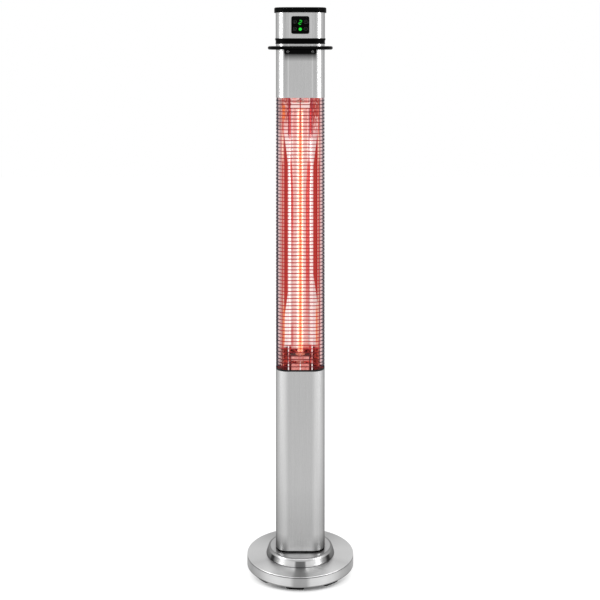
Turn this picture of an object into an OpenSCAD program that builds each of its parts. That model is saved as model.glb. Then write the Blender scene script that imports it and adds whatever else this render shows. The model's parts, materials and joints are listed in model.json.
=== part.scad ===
// Infrared patio heater tower. A brushed steel column stands on a round weighted base. A wire cage
// guards the quartz heating tube in the middle, and a carrying hoop and a control head sit on top.
// The front faces -Y and Z is up. The origin is the centre of the base, on the floor.

/* [Column] */
// Width of the column, left to right
col_w = 94; // [86:1:106]
// Depth of the column, front to back
col_d = 68; // [64:1:80]
// Corner radius of the column
col_r = 23; // [16:0.5:27]
// Sheet thickness of the column tubes
col_wall = 1; // [0.8:0.1:1.6]
// Height of the lower tube
lower_h = 341.7; // [300:0.1:420]
// Height of the heating section between the tubes
chamber_h = 523.6; // [440:0.1:600]
// Height of the upper tube
upper_h = 101.3; // [96:0.1:140]

/* [Base] */
// Outer radius of the base cover
base_r = 102.5; // [98:0.5:130]
// Height of the base cover
base_h = 19; // [16:0.5:30]
// Radius of the cover's top edge
base_rim_r = 0.8; // [0.4:0.1:0.9]
// Sheet thickness of the base cover
base_wall = 1.2; // [0.8:0.1:1.4]
// Thickness of the plate that closes the base from below
plate_t = 1.5; // [1:0.1:2.5]
// Radius of the raised flange at its foot
flange_r = 65.5; // [62:0.5:75]
// Height of the raised flange
flange_h = 13.8; // [8:0.1:20]
// How much the flange narrows towards its top
flange_taper = 4.5; // [2:0.1:7]
// Radius of the flange's top edge
flange_edge_r = 3; // [1.5:0.1:5]
// Height of the rubber gasket under the column
gasket_h = 3.3; // [3:0.1:10]
// How far the gasket stands back from the column's face
gasket_inset = 0.4; // [0:0.1:2]
// Number of rubber feet
foot_count = 8; // [4:1:10]
// Height of a rubber foot
foot_h = 7; // [5.5:0.5:12]
// Length of a rubber foot along the rim
foot_len = 34; // [20:1:44]
// Width of a rubber foot across the rim
foot_band = 12; // [8:0.5:16]
// Radius that the feet reach
foot_reach = 95; // [90:0.5:97]
// Angle of the first foot from the front, degrees
foot_turn = -6; // [-20:1:20]

/* [Cage] */
// Diameter of a cage wire
wire_d = 1.8; // [1.2:0.1:2.6]
// Distance from wire to wire
wire_pitch = 6.85; // [5:0.05:10]
// Diameter of the upright rods that carry the wires
rod_d = 2.2; // [1.6:0.1:3.2]
// How far the outer front rods stand in from the corners
rod_set_in = 1.5; // [0:0.5:6]
// Where the rear shell begins, behind the column's axis
shell_front_y = 3; // [3:0.5:8]
// Height of the dark rim below the cage
rim_h = 3; // [2:0.1:5]
// Thickness of the plates that close the heating section
end_plate_t = 1.5; // [1:0.1:2]

/* [Heating tube] */
// Outer diameter of the quartz tube
tube_d = 12; // [10:0.5:13]
// Wall of the quartz tube
tube_wall = 1.2; // [0.8:0.1:1.8]
// How far the tube stands in front of the column's axis
tube_front = 6; // [2:0.5:8]
// Diameter of the glowing carbon element
element_d = 6.6; // [4:0.1:7]
// Distance from the lower end plate to the shelf of its tube holder
shelf_rise = 23.7; // [18:0.1:34]
// Distance from the upper end plate to the shelf of its tube holder
shelf_drop = 20.2; // [18:0.1:34]
// Sheet thickness of the reflector
reflector_t = 0.6; // [0.4:0.1:1]
// Distance of the reflector's flat back behind the column's axis
reflector_back = 14; // [12:0.5:16]
// Half width of the reflector, from the middle to its lip
reflector_half = 36.8; // [33:0.1:37]

/* [Handle] */
// Gap between the column's side and the hoop
hoop_side_gap = 7; // [6:0.5:14]
// Gap between the column's front and the hoop
hoop_front_gap = 4; // [3.5:0.5:8]
// Gap between the column's rear and the hoop
hoop_rear_gap = 29; // [24:0.5:40]
// Width of the hoop's band
hoop_band = 9; // [7.5:0.1:9.4]
// Height of the hoop's band
hoop_h = 6.8; // [5:0.1:6.8]
// How much larger the hoop's outer corner radius is than the column's
hoop_corner_more = 22; // [20:0.5:26]
// Distance from the top of the hoop to the collar of the head
hoop_drop = 4.2; // [2:0.1:12]
// How far the bracket that holds the hoop stands in from the column's sides
bracket_in = 16.2; // [15:0.1:19]
// Height of the bracket below the hoop
bracket_h = 7.8; // [7.4:0.1:14]
// Corner radius of the bracket
bracket_r = 3; // [2:0.1:3.5]

/* [Head] */
// Height of the black collar under the head
collar_h = 10.9; // [8:0.1:16]
// Height of the steel head housing
head_h = 49.4; // [48:0.1:64]
// How far the head housing stands out past the column
head_out = 0.5; // [0:0.1:1]
// Height of the black cap
cap_h = 10; // [7:0.1:16]
// How far the cap stands out past the column
cap_out = 3.3; // [2:0.1:6]
// Radius of the cap's top edge
cap_edge_r = 2.6; // [1:0.1:5]

/* [Control panel] */
// Width of the control panel
panel_w = 34.5; // [34:0.1:40]
// Height of the control panel
panel_h = 34; // [34:0.1:37]
// Corner radius of the control panel
panel_r = 3.8; // [2:0.1:5]
// Distance of the panel's centre above the housing's lower edge
panel_rise = 25.3; // [25:0.1:26]
// Diameter of a button
button_d = 7.5; // [6:0.1:7.6]
// Distance of the buttons from the panel's middle line
button_x = 10.4; // [9.9:0.1:10.4]
// Height of the upper buttons above the panel's centre
button_up_z = 5.9; // [4.6:0.1:6.4]
// Depth of the lower buttons below the panel's centre
button_low_z = 7.6; // [5:0.1:7.8]
// Travel of a button
button_travel = 0.6; // [0.2:0.1:0.8]
// Width of the display digit
digit_w = 5.7; // [5:0.1:6.8]
// Height of the display digit
digit_h = 8.8; // [7:0.1:9.8]
// Diameter of the power lamp
lamp_d = 5.6; // [4:0.1:7]

/* [Inside] */
// Width of the spine channel behind the reflector
spine_w = 24; // [22:0.5:26]
// Depth of the spine channel
spine_d = 12.8; // [11:0.1:13.5]
// Bore of the cord gland
gland_bore_d = 7.6; // [6:0.1:9]
// Height of the cord gland above the lower tube's end
gland_rise = 52; // [44:0.5:70]
// Length of the tilt pendulum, from its pivot to its weight
pendulum_len = 32; // [26:0.5:36]

/* [Hidden] */
$fn = 48;

// Clearances: between seated pieces, round a moving piece, between touching pieces, round a pin
// and round a thread. The last value is the overrun of a cut
fit_gap = 0.2;
move_gap = 0.3;
touch_gap = 0.1;
pin_gap = 0.05;
thread_gap = 0.1;
over = 2;

// Heights of the sections, from the floor up
base_z = foot_h;
base_top_z = base_z + base_h;
flange_top_z = base_top_z + flange_h;
lower_z = flange_top_z + gasket_h;
chamber_z = lower_z + lower_h;
chamber_top_z = chamber_z + chamber_h;
chamber_open_h = chamber_h - rim_h - end_plate_t;
collar_z = chamber_top_z + upper_h;
head_z = collar_z + collar_h;
cap_z = head_z + head_h;

// Faces of a tube, and the plugs that fit into it
front_y = col_d / 2;
inner_y = front_y - col_wall;
plug_inset = col_wall + fit_gap;
plug_t = 1.5;
plug_h = 8;

// Screws: head, recess and hexagon follow the thread
head_d_share = 1.85;
head_h_share = 0.55;
recess_w_share = 0.22;
recess_l_share = 1.1;
recess_h_share = 0.35;
hex_share = 1.92;
hex_h_share = 0.66;
small_screw_d = 4;
tiny_screw_d = 2.2;

// Bolts that clamp the column to the base
bolt_d = 6;
bolt_x = 25;
bolt_y = 14;
bolt_end_rise = 14;

// Ballast, and the screws that hold the plate
ballast_inset = 3;
flange_step_w = 1.6;
flange_step_h = 0.8;
ballast_chamfer = 2;
plate_screw_count = 4;
plate_screw_r = 72;
plate_screw_len = 10;

// Casting inside the foot of the lower tube
foot_cast_t = 6;
foot_cast_wall = 4;
foot_cast_h = 30;
foot_boss_d = 13;
foot_screw_x = 16;
foot_screw_rise = 20;
foot_screw_len = 5.5;

// Cord gland and its nut
gland_thread_d = 16;
gland_flange_d = 23;
gland_flange_t = 4;
gland_nose_d = 18;
gland_tip_d = 13;
gland_nose_l = 10;
gland_inside_l = 11;
gland_nut_d = 25;
gland_nut_t = 5;

// Spine channel, and the screws that hold the tubes and the rear shell to it
spine_t = 1.5;
spine_start_rise = 94;
spine_end_drop = 9.7;
spine_back_y = inner_y - fit_gap;
spine_front_y = spine_back_y - spine_d;
spine_z = lower_z + spine_start_rise;
spine_top_z = collar_z - spine_end_drop;
rear_screw_len = 5.5;
low_screw_rises = [18, 220];
shell_screw_shares = [0.06, 0.34, 0.66, 0.94];
high_screw_drops = [18, 74];
low_screw_zs = [for (rise = low_screw_rises) spine_z + rise];
shell_screw_zs = [for (share = shell_screw_shares) chamber_z + share * chamber_h];
high_screw_zs = [for (drop = high_screw_drops) collar_z - drop];

// Supply harness in the spine
harness_d = 5;
harness_low = 26;
harness_high = 5;

// Tilt switch: a plate on the spine, a pivot, a hanging weight and a reed switch below it
tilt_pivot_rise = 189;
tilt_plate_w = 34;
tilt_plate_t = 2;
tilt_plate_above = 15;
tilt_plate_below = 60;
pivot_d = 3;
pivot_spacer_d = 6;
pivot_spacer_l = 3.5;
pivot_head_l = 2;
hub_d = 9;
hub_l = 10;
arm_w = 6;
arm_t = 3;
weight_d = 22;
weight_l = 12;
reed_w = 20;
reed_h = 6;
reed_d = 8;
reed_gap = 6;
tilt_z = lower_z + tilt_pivot_rise;
tilt_plate_y = spine_front_y - touch_gap - tilt_plate_t;
hub_y = tilt_plate_y - pivot_spacer_l - move_gap - hub_l / 2;

// Terminal block under the heating section
block_w = 34;
block_d = 18;
block_h = 18;
port_d = 4.4;
port_x = 10;
port_depth = 8;

// Base cover: groove turned under its top edge, and the fillet inside its corner
base_groove_drop = 0.9;
base_groove_h = 1.3;
base_groove_d = 1.1;
base_inner_r = 4;

// Rear shell: its return flanges and vents
return_w = 9.2;
vent_w = 3;
vent_h = 12;
vent_pitch = 18;
vent_rows = 7;
vent_x = 18;
vent_start = 45;

// Lip of the end plates, and the places of the upright rods just inside the wires
lip_t = 1.6;
lead_hole_d = 8;
rod_front_y = front_y - wire_d - pin_gap - rod_d / 2;
rod_side_x = col_w / 2 - wire_d - pin_gap - rod_d / 2;
rod_front_x = col_w / 2 - col_r - rod_set_in;
rod_places = [[-rod_front_x, -rod_front_y], [0, -rod_front_y], [rod_front_x, -rod_front_y],
    [-rod_side_x, 0], [rod_side_x, 0]];

// Reflector: its folds as shares of its half width and of its depth, and its clips
fold_x_shares = [0.38, 0.49, 0.66, 0.87, 1];
fold_y_shares = [0, 0.18, 0.42, 0.9, 1.1];
reflector_depth = 16;
clip_h = 16;
clip_t = 1.2;
clip_shares = [0.12, 0.5, 0.88];

// Tube holder, ceramic end cap, and the element with its pins and leads
holder_w = 38;
holder_front = 11;
holder_back = 10.5;
holder_t = 1.5;
holder_lip_h = 8;
holder_leg_d = 12;
ceramic_d = 15;
ceramic_flange_d = 18.4;
ceramic_flange_t = 2.5;
ceramic_above = 4;
ceramic_below = 15;
socket_depth = 10;
ceramic_bore_d = 5;
element_margin = 2.5;
element_pin_d = 1.6;
pin_in_bore = 5;
lead_d = 3.4;
lead_out = 5;

// Insulation and thermal cut-out on the roof of the heating section
insulation_t = 4;
insulation_inset = 5;
cutout_d = 16;
cutout_h = 7;
cutout_ear_w = 26;
cutout_ear_d = 9;
cutout_ear_t = 1;
blade_x = 4.5;
blade_w = 4.8;
blade_t = 0.8;
blade_h = 6;

// Power board, its bracket and its parts. Sizes are width, depth and height
board_t = 1.6;
power_board_w = 54;
power_board_h = 54;
power_board_rise = 28;
power_board_y = 2;
board_plate_w = 40;
board_plate_h = 60;
board_plate_t = 1.5;
standoff_d = 5;
standoff_x = 16;
standoff_z = 23;
relay_size = [19, 15, 15.5];
relay_x = 12;
relay_low = 6;
transformer_size = [32, 20, 14];
transformer_low = 30;
capacitor_d = 9;
capacitor_h = 16;
capacitor_x = 21.5;
board_z = chamber_top_z + power_board_rise;
board_mid_z = board_z + power_board_h / 2;

// Hoop, from the gaps round the column
hoop_w = col_w + 2 * (hoop_side_gap + hoop_band);
hoop_front = front_y + hoop_front_gap + hoop_band;
hoop_rear = front_y + hoop_rear_gap + hoop_band;
hoop_d = hoop_front + hoop_rear;
hoop_r = col_r + hoop_corner_more;
hoop_z = collar_z - hoop_drop - hoop_h / 2;
hoop_mid_y = (hoop_rear - hoop_front) / 2;

// Handle bracket and its screws
hoop_proud = 1;
saddle_drop = 1;
bracket_edge_r = 1.2;
handle_screw_in = 7.1;
handle_screw_drop = 3.6;
handle_screw_d = 3;
handle_pocket_t = 1.5;
handle_nut_t = 3;
handle_nut_back = 0.4;
handle_nut_gap = 1;
bracket_w = col_w - 2 * bracket_in;
bracket_face_y = hoop_front - hoop_proud;
handle_screw_x = bracket_w / 2 - handle_screw_in;
handle_screw_z = hoop_z - hoop_h / 2 - handle_screw_drop;
handle_nut_y = inner_y - handle_nut_back;

// Collar: how far its lips and body stand out, and their heights
collar_top_out = 1.6;
collar_body_out = 0.6;
collar_low_out = 0.9;
collar_top_h = 3.6;
collar_low_h = 2;
collar_wall = 3;
collar_web_t = 2;
collar_web_w = 8;

// Cap
cap_wall = 2.4;
cap_plug_h = 5;

// Control panel: a plate over the housing, and a tray behind it that carries the board
panel_proud = 1.1;
panel_edge_r = 0.7;
panel_lap = 0.9;
panel_plate_t = 2.2;
panel_tray_wall = 1;
panel_tray_d = 11.5;
board_post_d = 4;
board_post_x = 6.6;
board_post_z = 13.6;
board_screw_l = 7;
control_board_w = 46;
control_board_h = 35;
chip_x = 15;
chip_lift = 6;
chip_w = 7;
chip_t = 1.6;
panel_z = head_z + panel_rise;
panel_face_y = front_y + head_out + panel_proud;
tray_w = panel_w - 2 * (panel_lap + fit_gap);
tray_h = panel_h - 2 * (panel_lap + fit_gap);
tray_r = panel_r - panel_lap - fit_gap;
board_depth = panel_tray_d + touch_gap;

// Buttons and their switches
button_proud = 0.5;
button_edge_r = 0.35;
button_flange_out = 0.7;
button_flange_t = 1.1;
button_stem_d = 4;
switch_w = 6;
switch_h = 3.5;
switch_plunger_d = 3;
switch_plunger_h = 0.8;
button_places = [[-button_x, button_up_z], [button_x, button_up_z],
    [-button_x, -button_low_z], [button_x, -button_low_z]];

// Display and power lamp
display_margin = 1.4;
display_lift = 5.1;
segment_share = 0.19;
segment_gap_share = 0.03;
segment_t = 0.6;
segment_proud = 0.05;
digit_slant = 8;
lamp_drop = 8;
lamp_flange_out = 0.8;
lamp_flange_t = 1.2;
lamp_proud = 0.7;
lamp_body_share = 0.7;
display_w = digit_w + 2 * display_margin;
display_h = digit_h + 2 * display_margin;

// Ribbon from the control board to the power board
cable_w = 8;
cable_t = 1.4;
cable_up = 14;
cable_bend = 4;
cable_lap = 6;

// Shared shapes

// Rounded rectangle about the origin
module rounded(w, d, r) {
    square([w - 2 * r, d], center = true);
    square([w, d - 2 * r], center = true);
    for (sx = [-1, 1], sy = [-1, 1])
        translate([sx * (w / 2 - r), sy * (d / 2 - r)]) circle(r = r);
}

// The column's outline, drawn in by an inset
module outline(inset = 0) {
    rounded(col_w - 2 * inset, col_d - 2 * inset, col_r - inset);
}

// A wall that follows the column's outline
module band(inset, wall) {
    difference() {
        outline(inset);
        outline(inset + wall);
    }
}

// Flat strip from the axis to a reach, with its upper outer corner rounded
module rim_profile(reach, h, r, spare = 0) {
    translate([-spare, -spare]) square([reach - r + spare, h + spare]);
    translate([-spare, -spare]) square([reach + spare, h - r + spare]);
    translate([reach - r, h - r]) intersection() {
        circle(r = r);
        translate([-r, r - h]) square([2 * r, h]);
    }
}

// Rounded slab whose top edge is rounded too
module soft_slab(w, d, r, h, edge) {
    half_x = w / 2 - r;
    half_y = d / 2 - r;
    translate([-half_x, -half_y, 0]) cube([2 * half_x, 2 * half_y, h]);
    for (c = [[1, 1, 0], [-1, 1, 90], [-1, -1, 180], [1, -1, 270]])
        translate([c[0] * half_x, c[1] * half_y, 0])
            rotate([0, 0, c[2]]) rotate_extrude(angle = 90) rim_profile(r, h, edge);
    for (turn = [0, 180]) rotate([0, 0, turn]) {
        translate([-half_x, half_y, 0])
            rotate([90, 0, 90]) linear_extrude(2 * half_x) rim_profile(r, h, edge);
        translate([half_x, half_y, 0])
            rotate([90, 0, 0]) linear_extrude(2 * half_y) rim_profile(r, h, edge);
    }
}

// Pan head screw with a cross recess, its head standing on z = 0
module pan_screw(d, length) {
    head_h = head_h_share * d;
    difference() {
        union() {
            rotate_extrude() rim_profile(head_d_share * d / 2, head_h, head_h / 2);
            translate([0, 0, -length]) cylinder(d = d, h = length);
        }
        for (turn = [45, 135]) rotate([0, 0, turn]) translate([0, 0, head_h])
            cube([recess_l_share * d, recess_w_share * d, 2 * recess_h_share * d], center = true);
    }
}

// Turn what stands on z = 0 to look to the rear, or to the front
module facing_rear(x, y, z) {
    translate([x, y, z]) rotate([-90, 0, 0]) children();
}
module facing_front(x, y, z) {
    translate([x, y, z]) rotate([90, 0, 0]) children();
}

// Holes through everything that the column's four bolts clamp
module bolt_holes(z, h, d) {
    for (sx = [-1, 1], sy = [-1, 1])
        translate([sx * bolt_x, sy * bolt_y, z]) cylinder(d = d, h = h);
}

// Places of the screws that hold the base plate
module at_plate_screws(z) {
    for (i = [0 : plate_screw_count - 1])
        rotate([0, 0, (i + 0.5) * 360 / plate_screw_count])
            translate([plate_screw_r, 0, z]) children();
}

// Base

module base_shell() color("silver") difference() {
    translate([0, 0, base_z]) rotate_extrude() difference() {
        rim_profile(base_r, base_h, base_rim_r);
        rim_profile(base_r - base_wall, base_h - base_wall, base_inner_r, over);
        translate([base_r - base_groove_d, base_h - base_groove_drop - base_groove_h])
            square([base_groove_d + over, base_groove_h]);
    }
    bolt_holes(base_z, base_h + over, bolt_d + 2 * fit_gap);
}

module base_ballast() color("dimgray") {
    reach = base_r - base_wall - ballast_inset;
    low = base_z + plate_t;
    high = base_top_z - base_wall - fit_gap;
    edge = ballast_chamfer;
    difference() {
        rotate_extrude() polygon([[0, low], [reach - edge, low], [reach, low + edge],
            [reach, high - edge], [reach - edge, high], [0, high]]);
        bolt_holes(low - over, base_h + over, bolt_d + 2 * fit_gap);
        at_plate_screws(low - over)
            cylinder(d = small_screw_d + 2 * thread_gap, h = plate_screw_len + over);
    }
}

module base_plate() color("gray") difference() {
    translate([0, 0, base_z]) cylinder(r = base_r - base_wall - fit_gap, h = plate_t);
    bolt_holes(base_z - over, plate_t + 2 * over, bolt_d + 2 * fit_gap);
    at_plate_screws(base_z - over)
        cylinder(d = small_screw_d + 2 * fit_gap, h = plate_t + 2 * over);
}

// One foot seen from above: an arc along the rim with half round ends
module foot_outline() {
    mid_r = foot_reach - foot_band / 2;
    spread = asin((foot_len - foot_band) / 2 / mid_r);
    wedge = [for (turn = [-spread, spread]) 2 * foot_reach * [cos(turn), sin(turn)]];
    intersection() {
        difference() {
            circle(r = foot_reach);
            circle(r = foot_reach - foot_band);
        }
        polygon(concat([[0, 0]], wedge));
    }
    for (turn = [-spread, spread]) rotate(turn) translate([mid_r, 0]) circle(d = foot_band);
}

module rubber_feet() color("#1c1c1e")
    for (i = [0 : foot_count - 1])
        rotate([0, 0, foot_turn - 90 + i * 360 / foot_count]) linear_extrude(foot_h) foot_outline();

module plate_screws() color("gray") at_plate_screws(base_z)
    rotate([180, 0, 0]) pan_screw(small_screw_d, plate_screw_len);

// The flange's flank leans in, and a round edge meets it and the flat top
module base_flange() color("gainsboro") {
    lean = atan(flange_taper / flange_h);
    edge_z = flange_h - flange_edge_r;
    edge_x = flange_r - (flange_edge_r + edge_z * sin(lean)) / cos(lean);
    flank_end = [edge_x + flange_edge_r * cos(lean), edge_z + flange_edge_r * sin(lean)];
    difference() {
        translate([0, 0, base_top_z]) rotate_extrude() {
            polygon([[0, 0], [flange_r - flange_step_w, 0], [flange_r - flange_step_w, flange_step_h],
                [flange_r, flange_step_h], flank_end, [edge_x, edge_z], [edge_x, flange_h],
                [0, flange_h]]);
            translate([edge_x, edge_z]) circle(r = flange_edge_r);
        }
        bolt_holes(base_top_z - over, flange_h + 2 * over, bolt_d + 2 * fit_gap);
    }
}

module column_gasket() color("#141414") difference() {
    translate([0, 0, flange_top_z]) linear_extrude(gasket_h) outline(gasket_inset);
    bolt_holes(flange_top_z - over, gasket_h + 2 * over, bolt_d + 2 * fit_gap);
}

// Casting that plugs into the lower tube and takes the bolts
module column_foot() color("darkgray") difference() {
    union() {
        translate([0, 0, lower_z]) linear_extrude(foot_cast_t) outline(plug_inset);
        translate([0, 0, lower_z]) linear_extrude(foot_cast_h) band(plug_inset, foot_cast_wall);
        bolt_holes(lower_z, bolt_end_rise + foot_cast_t, foot_boss_d);
    }
    bolt_holes(lower_z - over, foot_cast_h + over, bolt_d + 2 * thread_gap);
    for (side = [-1, 1])
        facing_rear(side * foot_screw_x, front_y - foot_screw_len - over, lower_z + foot_screw_rise)
            cylinder(d = small_screw_d + 2 * thread_gap, h = foot_screw_len + 2 * over);
}

// Hex bolts from below the plate up into the column foot
module base_bolts() color("gray") for (sx = [-1, 1], sy = [-1, 1])
    translate([sx * bolt_x, sy * bolt_y, base_z]) {
        cylinder(d = bolt_d, h = lower_z + bolt_end_rise - base_z);
        translate([0, 0, -hex_h_share * bolt_d])
            cylinder(d = hex_share * bolt_d, h = hex_h_share * bolt_d, $fn = 6);
    }

module foot_screws() color("gray")
    for (side = [-1, 1])
        facing_rear(side * foot_screw_x, front_y, lower_z + foot_screw_rise)
            pan_screw(small_screw_d, foot_screw_len);

// Lower tube and what it holds

module rear_screw_holes(zs) {
    for (z = zs) facing_rear(0, front_y - rear_screw_len - over, z)
        cylinder(d = small_screw_d + 2 * thread_gap, h = rear_screw_len + 2 * over);
}

module lower_column() color("lightgray") difference() {
    translate([0, 0, lower_z]) linear_extrude(lower_h) band(0, col_wall);
    rear_screw_holes(low_screw_zs);
    for (side = [-1, 1])
        facing_rear(side * foot_screw_x, inner_y - over, lower_z + foot_screw_rise)
            cylinder(d = small_screw_d + 2 * thread_gap, h = col_wall + 2 * over);
    facing_rear(0, inner_y - over, lower_z + gland_rise)
        cylinder(d = gland_thread_d + 2 * fit_gap, h = col_wall + 2 * over);
}

// Gland for the supply cord: thread through the wall, hexagon and nose round one bore
module cord_gland() color("#202022") facing_rear(0, front_y, lower_z + gland_rise) difference() {
    union() {
        translate([0, 0, -gland_inside_l]) cylinder(d = gland_thread_d, h = gland_inside_l);
        cylinder(d = gland_flange_d, h = gland_flange_t / 2);
        cylinder(d = gland_flange_d, h = gland_flange_t, $fn = 6);
        translate([0, 0, gland_flange_t])
            cylinder(d1 = gland_nose_d, d2 = gland_tip_d, h = gland_nose_l);
    }
    translate([0, 0, -gland_inside_l - over])
        cylinder(d = gland_bore_d, h = gland_inside_l + gland_flange_t + gland_nose_l + 2 * over);
}

module gland_nut() color("#202022")
    facing_rear(0, inner_y - gland_nut_t - touch_gap, lower_z + gland_rise) difference() {
        cylinder(d = gland_nut_d, h = gland_nut_t, $fn = 6);
        translate([0, 0, -over])
            cylinder(d = gland_thread_d + 2 * thread_gap, h = gland_nut_t + 2 * over);
    }

// Channel that ties the lower tube, the heating section and the upper tube together
module spine_channel() color("darkgray") difference() {
    translate([-spine_w / 2, spine_front_y, spine_z])
        cube([spine_w, spine_d, spine_top_z - spine_z]);
    translate([spine_t - spine_w / 2, spine_front_y - over, spine_z - over])
        cube([spine_w - 2 * spine_t, spine_d - spine_t + over, spine_top_z - spine_z + 2 * over]);
    rear_screw_holes(concat(low_screw_zs, shell_screw_zs, high_screw_zs));
}

module tilt_bracket() color("gray") difference() {
    translate([-tilt_plate_w / 2, tilt_plate_y, tilt_z - tilt_plate_below])
        cube([tilt_plate_w, tilt_plate_t, tilt_plate_below + tilt_plate_above]);
    facing_rear(0, tilt_plate_y - over, tilt_z)
        cylinder(d = pivot_d + 2 * pin_gap, h = tilt_plate_t + 2 * over);
}

module tilt_pivot() color("silver") facing_front(0, tilt_plate_y, tilt_z) {
    reach = pivot_spacer_l + hub_l + 2 * move_gap;
    translate([0, 0, -tilt_plate_t]) cylinder(d = pivot_d, h = tilt_plate_t + reach);
    cylinder(d = pivot_spacer_d, h = pivot_spacer_l);
    translate([0, 0, reach]) cylinder(d = pivot_spacer_d, h = pivot_head_l);
}

module tilt_pendulum() color("dimgray") translate([0, hub_y, tilt_z]) difference() {
    union() {
        rotate([90, 0, 0]) cylinder(d = hub_d, h = hub_l, center = true);
        translate([-arm_w / 2, -arm_t / 2, -pendulum_len]) cube([arm_w, arm_t, pendulum_len]);
        translate([0, 0, -pendulum_len]) rotate([90, 0, 0])
            cylinder(d = weight_d, h = weight_l, center = true);
    }
    rotate([90, 0, 0]) cylinder(d = pivot_d + 2 * pin_gap, h = hub_l + 2 * over, center = true);
}

module reed_switch() color("#202022") {
    front = hub_y - reed_d / 2;
    translate([-reed_w / 2, front, tilt_z - pendulum_len - weight_d / 2 - reed_gap - reed_h])
        cube([reed_w, tilt_plate_y - touch_gap - front, reed_h]);
}

// Ceramic block that joins the supply to the tube's lower lead
module terminal_block() color("ivory")
    translate([-block_w / 2, -tube_front - block_d / 2, chamber_z - fit_gap - block_h])
        difference() {
            cube([block_w, block_d, block_h]);
            for (i = [-1, 0, 1]) translate([block_w / 2 + i * port_x, 0, 0]) {
                for (z = [-over, block_h - port_depth]) translate([0, block_d / 2, z])
                    cylinder(d = port_d, h = port_depth + over);
                translate([0, -over, block_h / 2]) rotate([-90, 0, 0])
                    cylinder(d = port_d, h = port_depth);
            }
        }

// Supply wires along the inside of the spine
module supply_harness() color("#303034") {
    x = spine_w / 2 - spine_t - harness_d / 2 - fit_gap;
    y = spine_back_y - spine_t - harness_d / 2 - fit_gap;
    low = spine_z + harness_low;
    translate([x, y, low]) cylinder(d = harness_d, h = spine_top_z - harness_high - low);
}

// Heating section

// Slot that the spine passes through
module spine_slot(z, h) {
    translate([-spine_w / 2 - fit_gap, spine_front_y - fit_gap, z])
        cube([spine_w + 2 * fit_gap, inner_y - spine_front_y + fit_gap, h]);
}

// End plate: a flat with a rim towards the cage and a plug into the tube
module end_plate(rim) difference() {
    union() {
        linear_extrude(end_plate_t) outline();
        linear_extrude(rim) band(0, lip_t);
        translate([0, 0, -plug_h]) linear_extrude(plug_h) band(plug_inset, plug_t);
    }
    spine_slot(-plug_h - over, plug_h + rim + 2 * over);
    translate([0, -tube_front, -over]) cylinder(d = lead_hole_d, h = end_plate_t + 2 * over);
    for (p = rod_places) translate([p[0], p[1], 0])
        cylinder(d = rod_d + 2 * touch_gap, h = end_plate_t + over);
}

module chamber_floor() color("#2a2a2c") translate([0, 0, chamber_z]) end_plate(rim_h);

module chamber_roof() color("silver")
    translate([0, 0, chamber_top_z]) mirror([0, 0, 1]) end_plate(end_plate_t);

// Upright slot with round ends
module vent() linear_extrude(col_wall + 2 * over) {
    square([vent_w, vent_h - vent_w], center = true);
    for (side = [-1, 1]) translate([0, side * (vent_h - vent_w) / 2]) circle(d = vent_w);
}

// Rear half of the section: a folded sheet with returns that the wires end on
module rear_shell() color("lightgray") difference() {
    translate([0, 0, chamber_z + rim_h]) linear_extrude(chamber_open_h) {
        intersection() {
            band(0, col_wall);
            translate([-col_w, shell_front_y]) square([2 * col_w, col_d]);
        }
        for (x = [-col_w / 2, col_w / 2 - return_w])
            translate([x, shell_front_y]) square([return_w, col_wall]);
    }
    rear_screw_holes(shell_screw_zs);
    for (side = [-1, 1], i = [0 : vent_rows - 1]) {
        rise = vent_start + i * vent_pitch;
        for (z = [chamber_z + rise, chamber_top_z - rise])
            facing_rear(side * vent_x, inner_y - over, z) vent();
    }
}

module rear_screws() color("gray")
    for (z = concat(low_screw_zs, shell_screw_zs, high_screw_zs))
        facing_rear(0, front_y, z) pan_screw(small_screw_d, rear_screw_len);

// Folded mirror sheet behind the tube
module reflector() color("whitesmoke") {
    right = [for (i = [0 : len(fold_x_shares) - 1])
        [reflector_half * fold_x_shares[i], reflector_back - reflector_depth * fold_y_shares[i]]];
    left = [for (i = [len(right) - 1 : -1 : 0]) [-right[i][0], right[i][1]]];
    face = concat(left, right);
    back = [for (i = [len(face) - 1 : -1 : 0]) face[i] + [0, reflector_t]];
    translate([0, 0, chamber_z + end_plate_t + fit_gap])
        linear_extrude(chamber_h - 2 * (end_plate_t + fit_gap)) polygon(concat(face, back));
}

// Small channels that hold the reflector off the spine
module reflector_clips() color("silver") {
    low_y = reflector_back + reflector_t + touch_gap;
    depth = spine_front_y - touch_gap - low_y;
    for (share = clip_shares)
        translate([-spine_w / 2, low_y, chamber_z + share * chamber_h - clip_h / 2]) difference() {
            cube([spine_w, depth, clip_h]);
            translate([clip_t, clip_t, -over])
                cube([spine_w - 2 * clip_t, depth, clip_h + 2 * over]);
        }
}

// One wire: across the front, round both front corners and back along the sides
module cage_wire() {
    half_w = (col_w - wire_d) / 2;
    half_d = (col_d - wire_d) / 2;
    bend = col_r - wire_d / 2;
    side_y = half_d - bend;
    translate([0, -half_d, 0]) rotate([0, 90, 0])
        cylinder(d = wire_d, h = 2 * (half_w - bend), center = true);
    for (side = [-1, 1]) {
        translate([side * (half_w - bend), -side_y, 0]) rotate([0, 0, side > 0 ? 270 : 180])
            rotate_extrude(angle = 90) translate([bend, 0]) circle(d = wire_d);
        translate([side * half_w, -side_y, 0]) rotate([-90, 0, 0])
            cylinder(d = wire_d, h = side_y + shell_front_y - touch_gap);
    }
}

// The wires fill the height between the rims, spaced evenly about the middle
module cage_wires() color("#3c3c40") {
    count = floor(chamber_open_h / wire_pitch);
    low = chamber_z + rim_h + (chamber_open_h - (count - 1) * wire_pitch) / 2;
    for (i = [0 : count - 1]) translate([0, 0, low + i * wire_pitch]) cage_wire();
}

module cage_rods() color("#3c3c40")
    for (p = rod_places) translate([p[0], p[1], chamber_z]) cylinder(d = rod_d, h = chamber_h);

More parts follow.
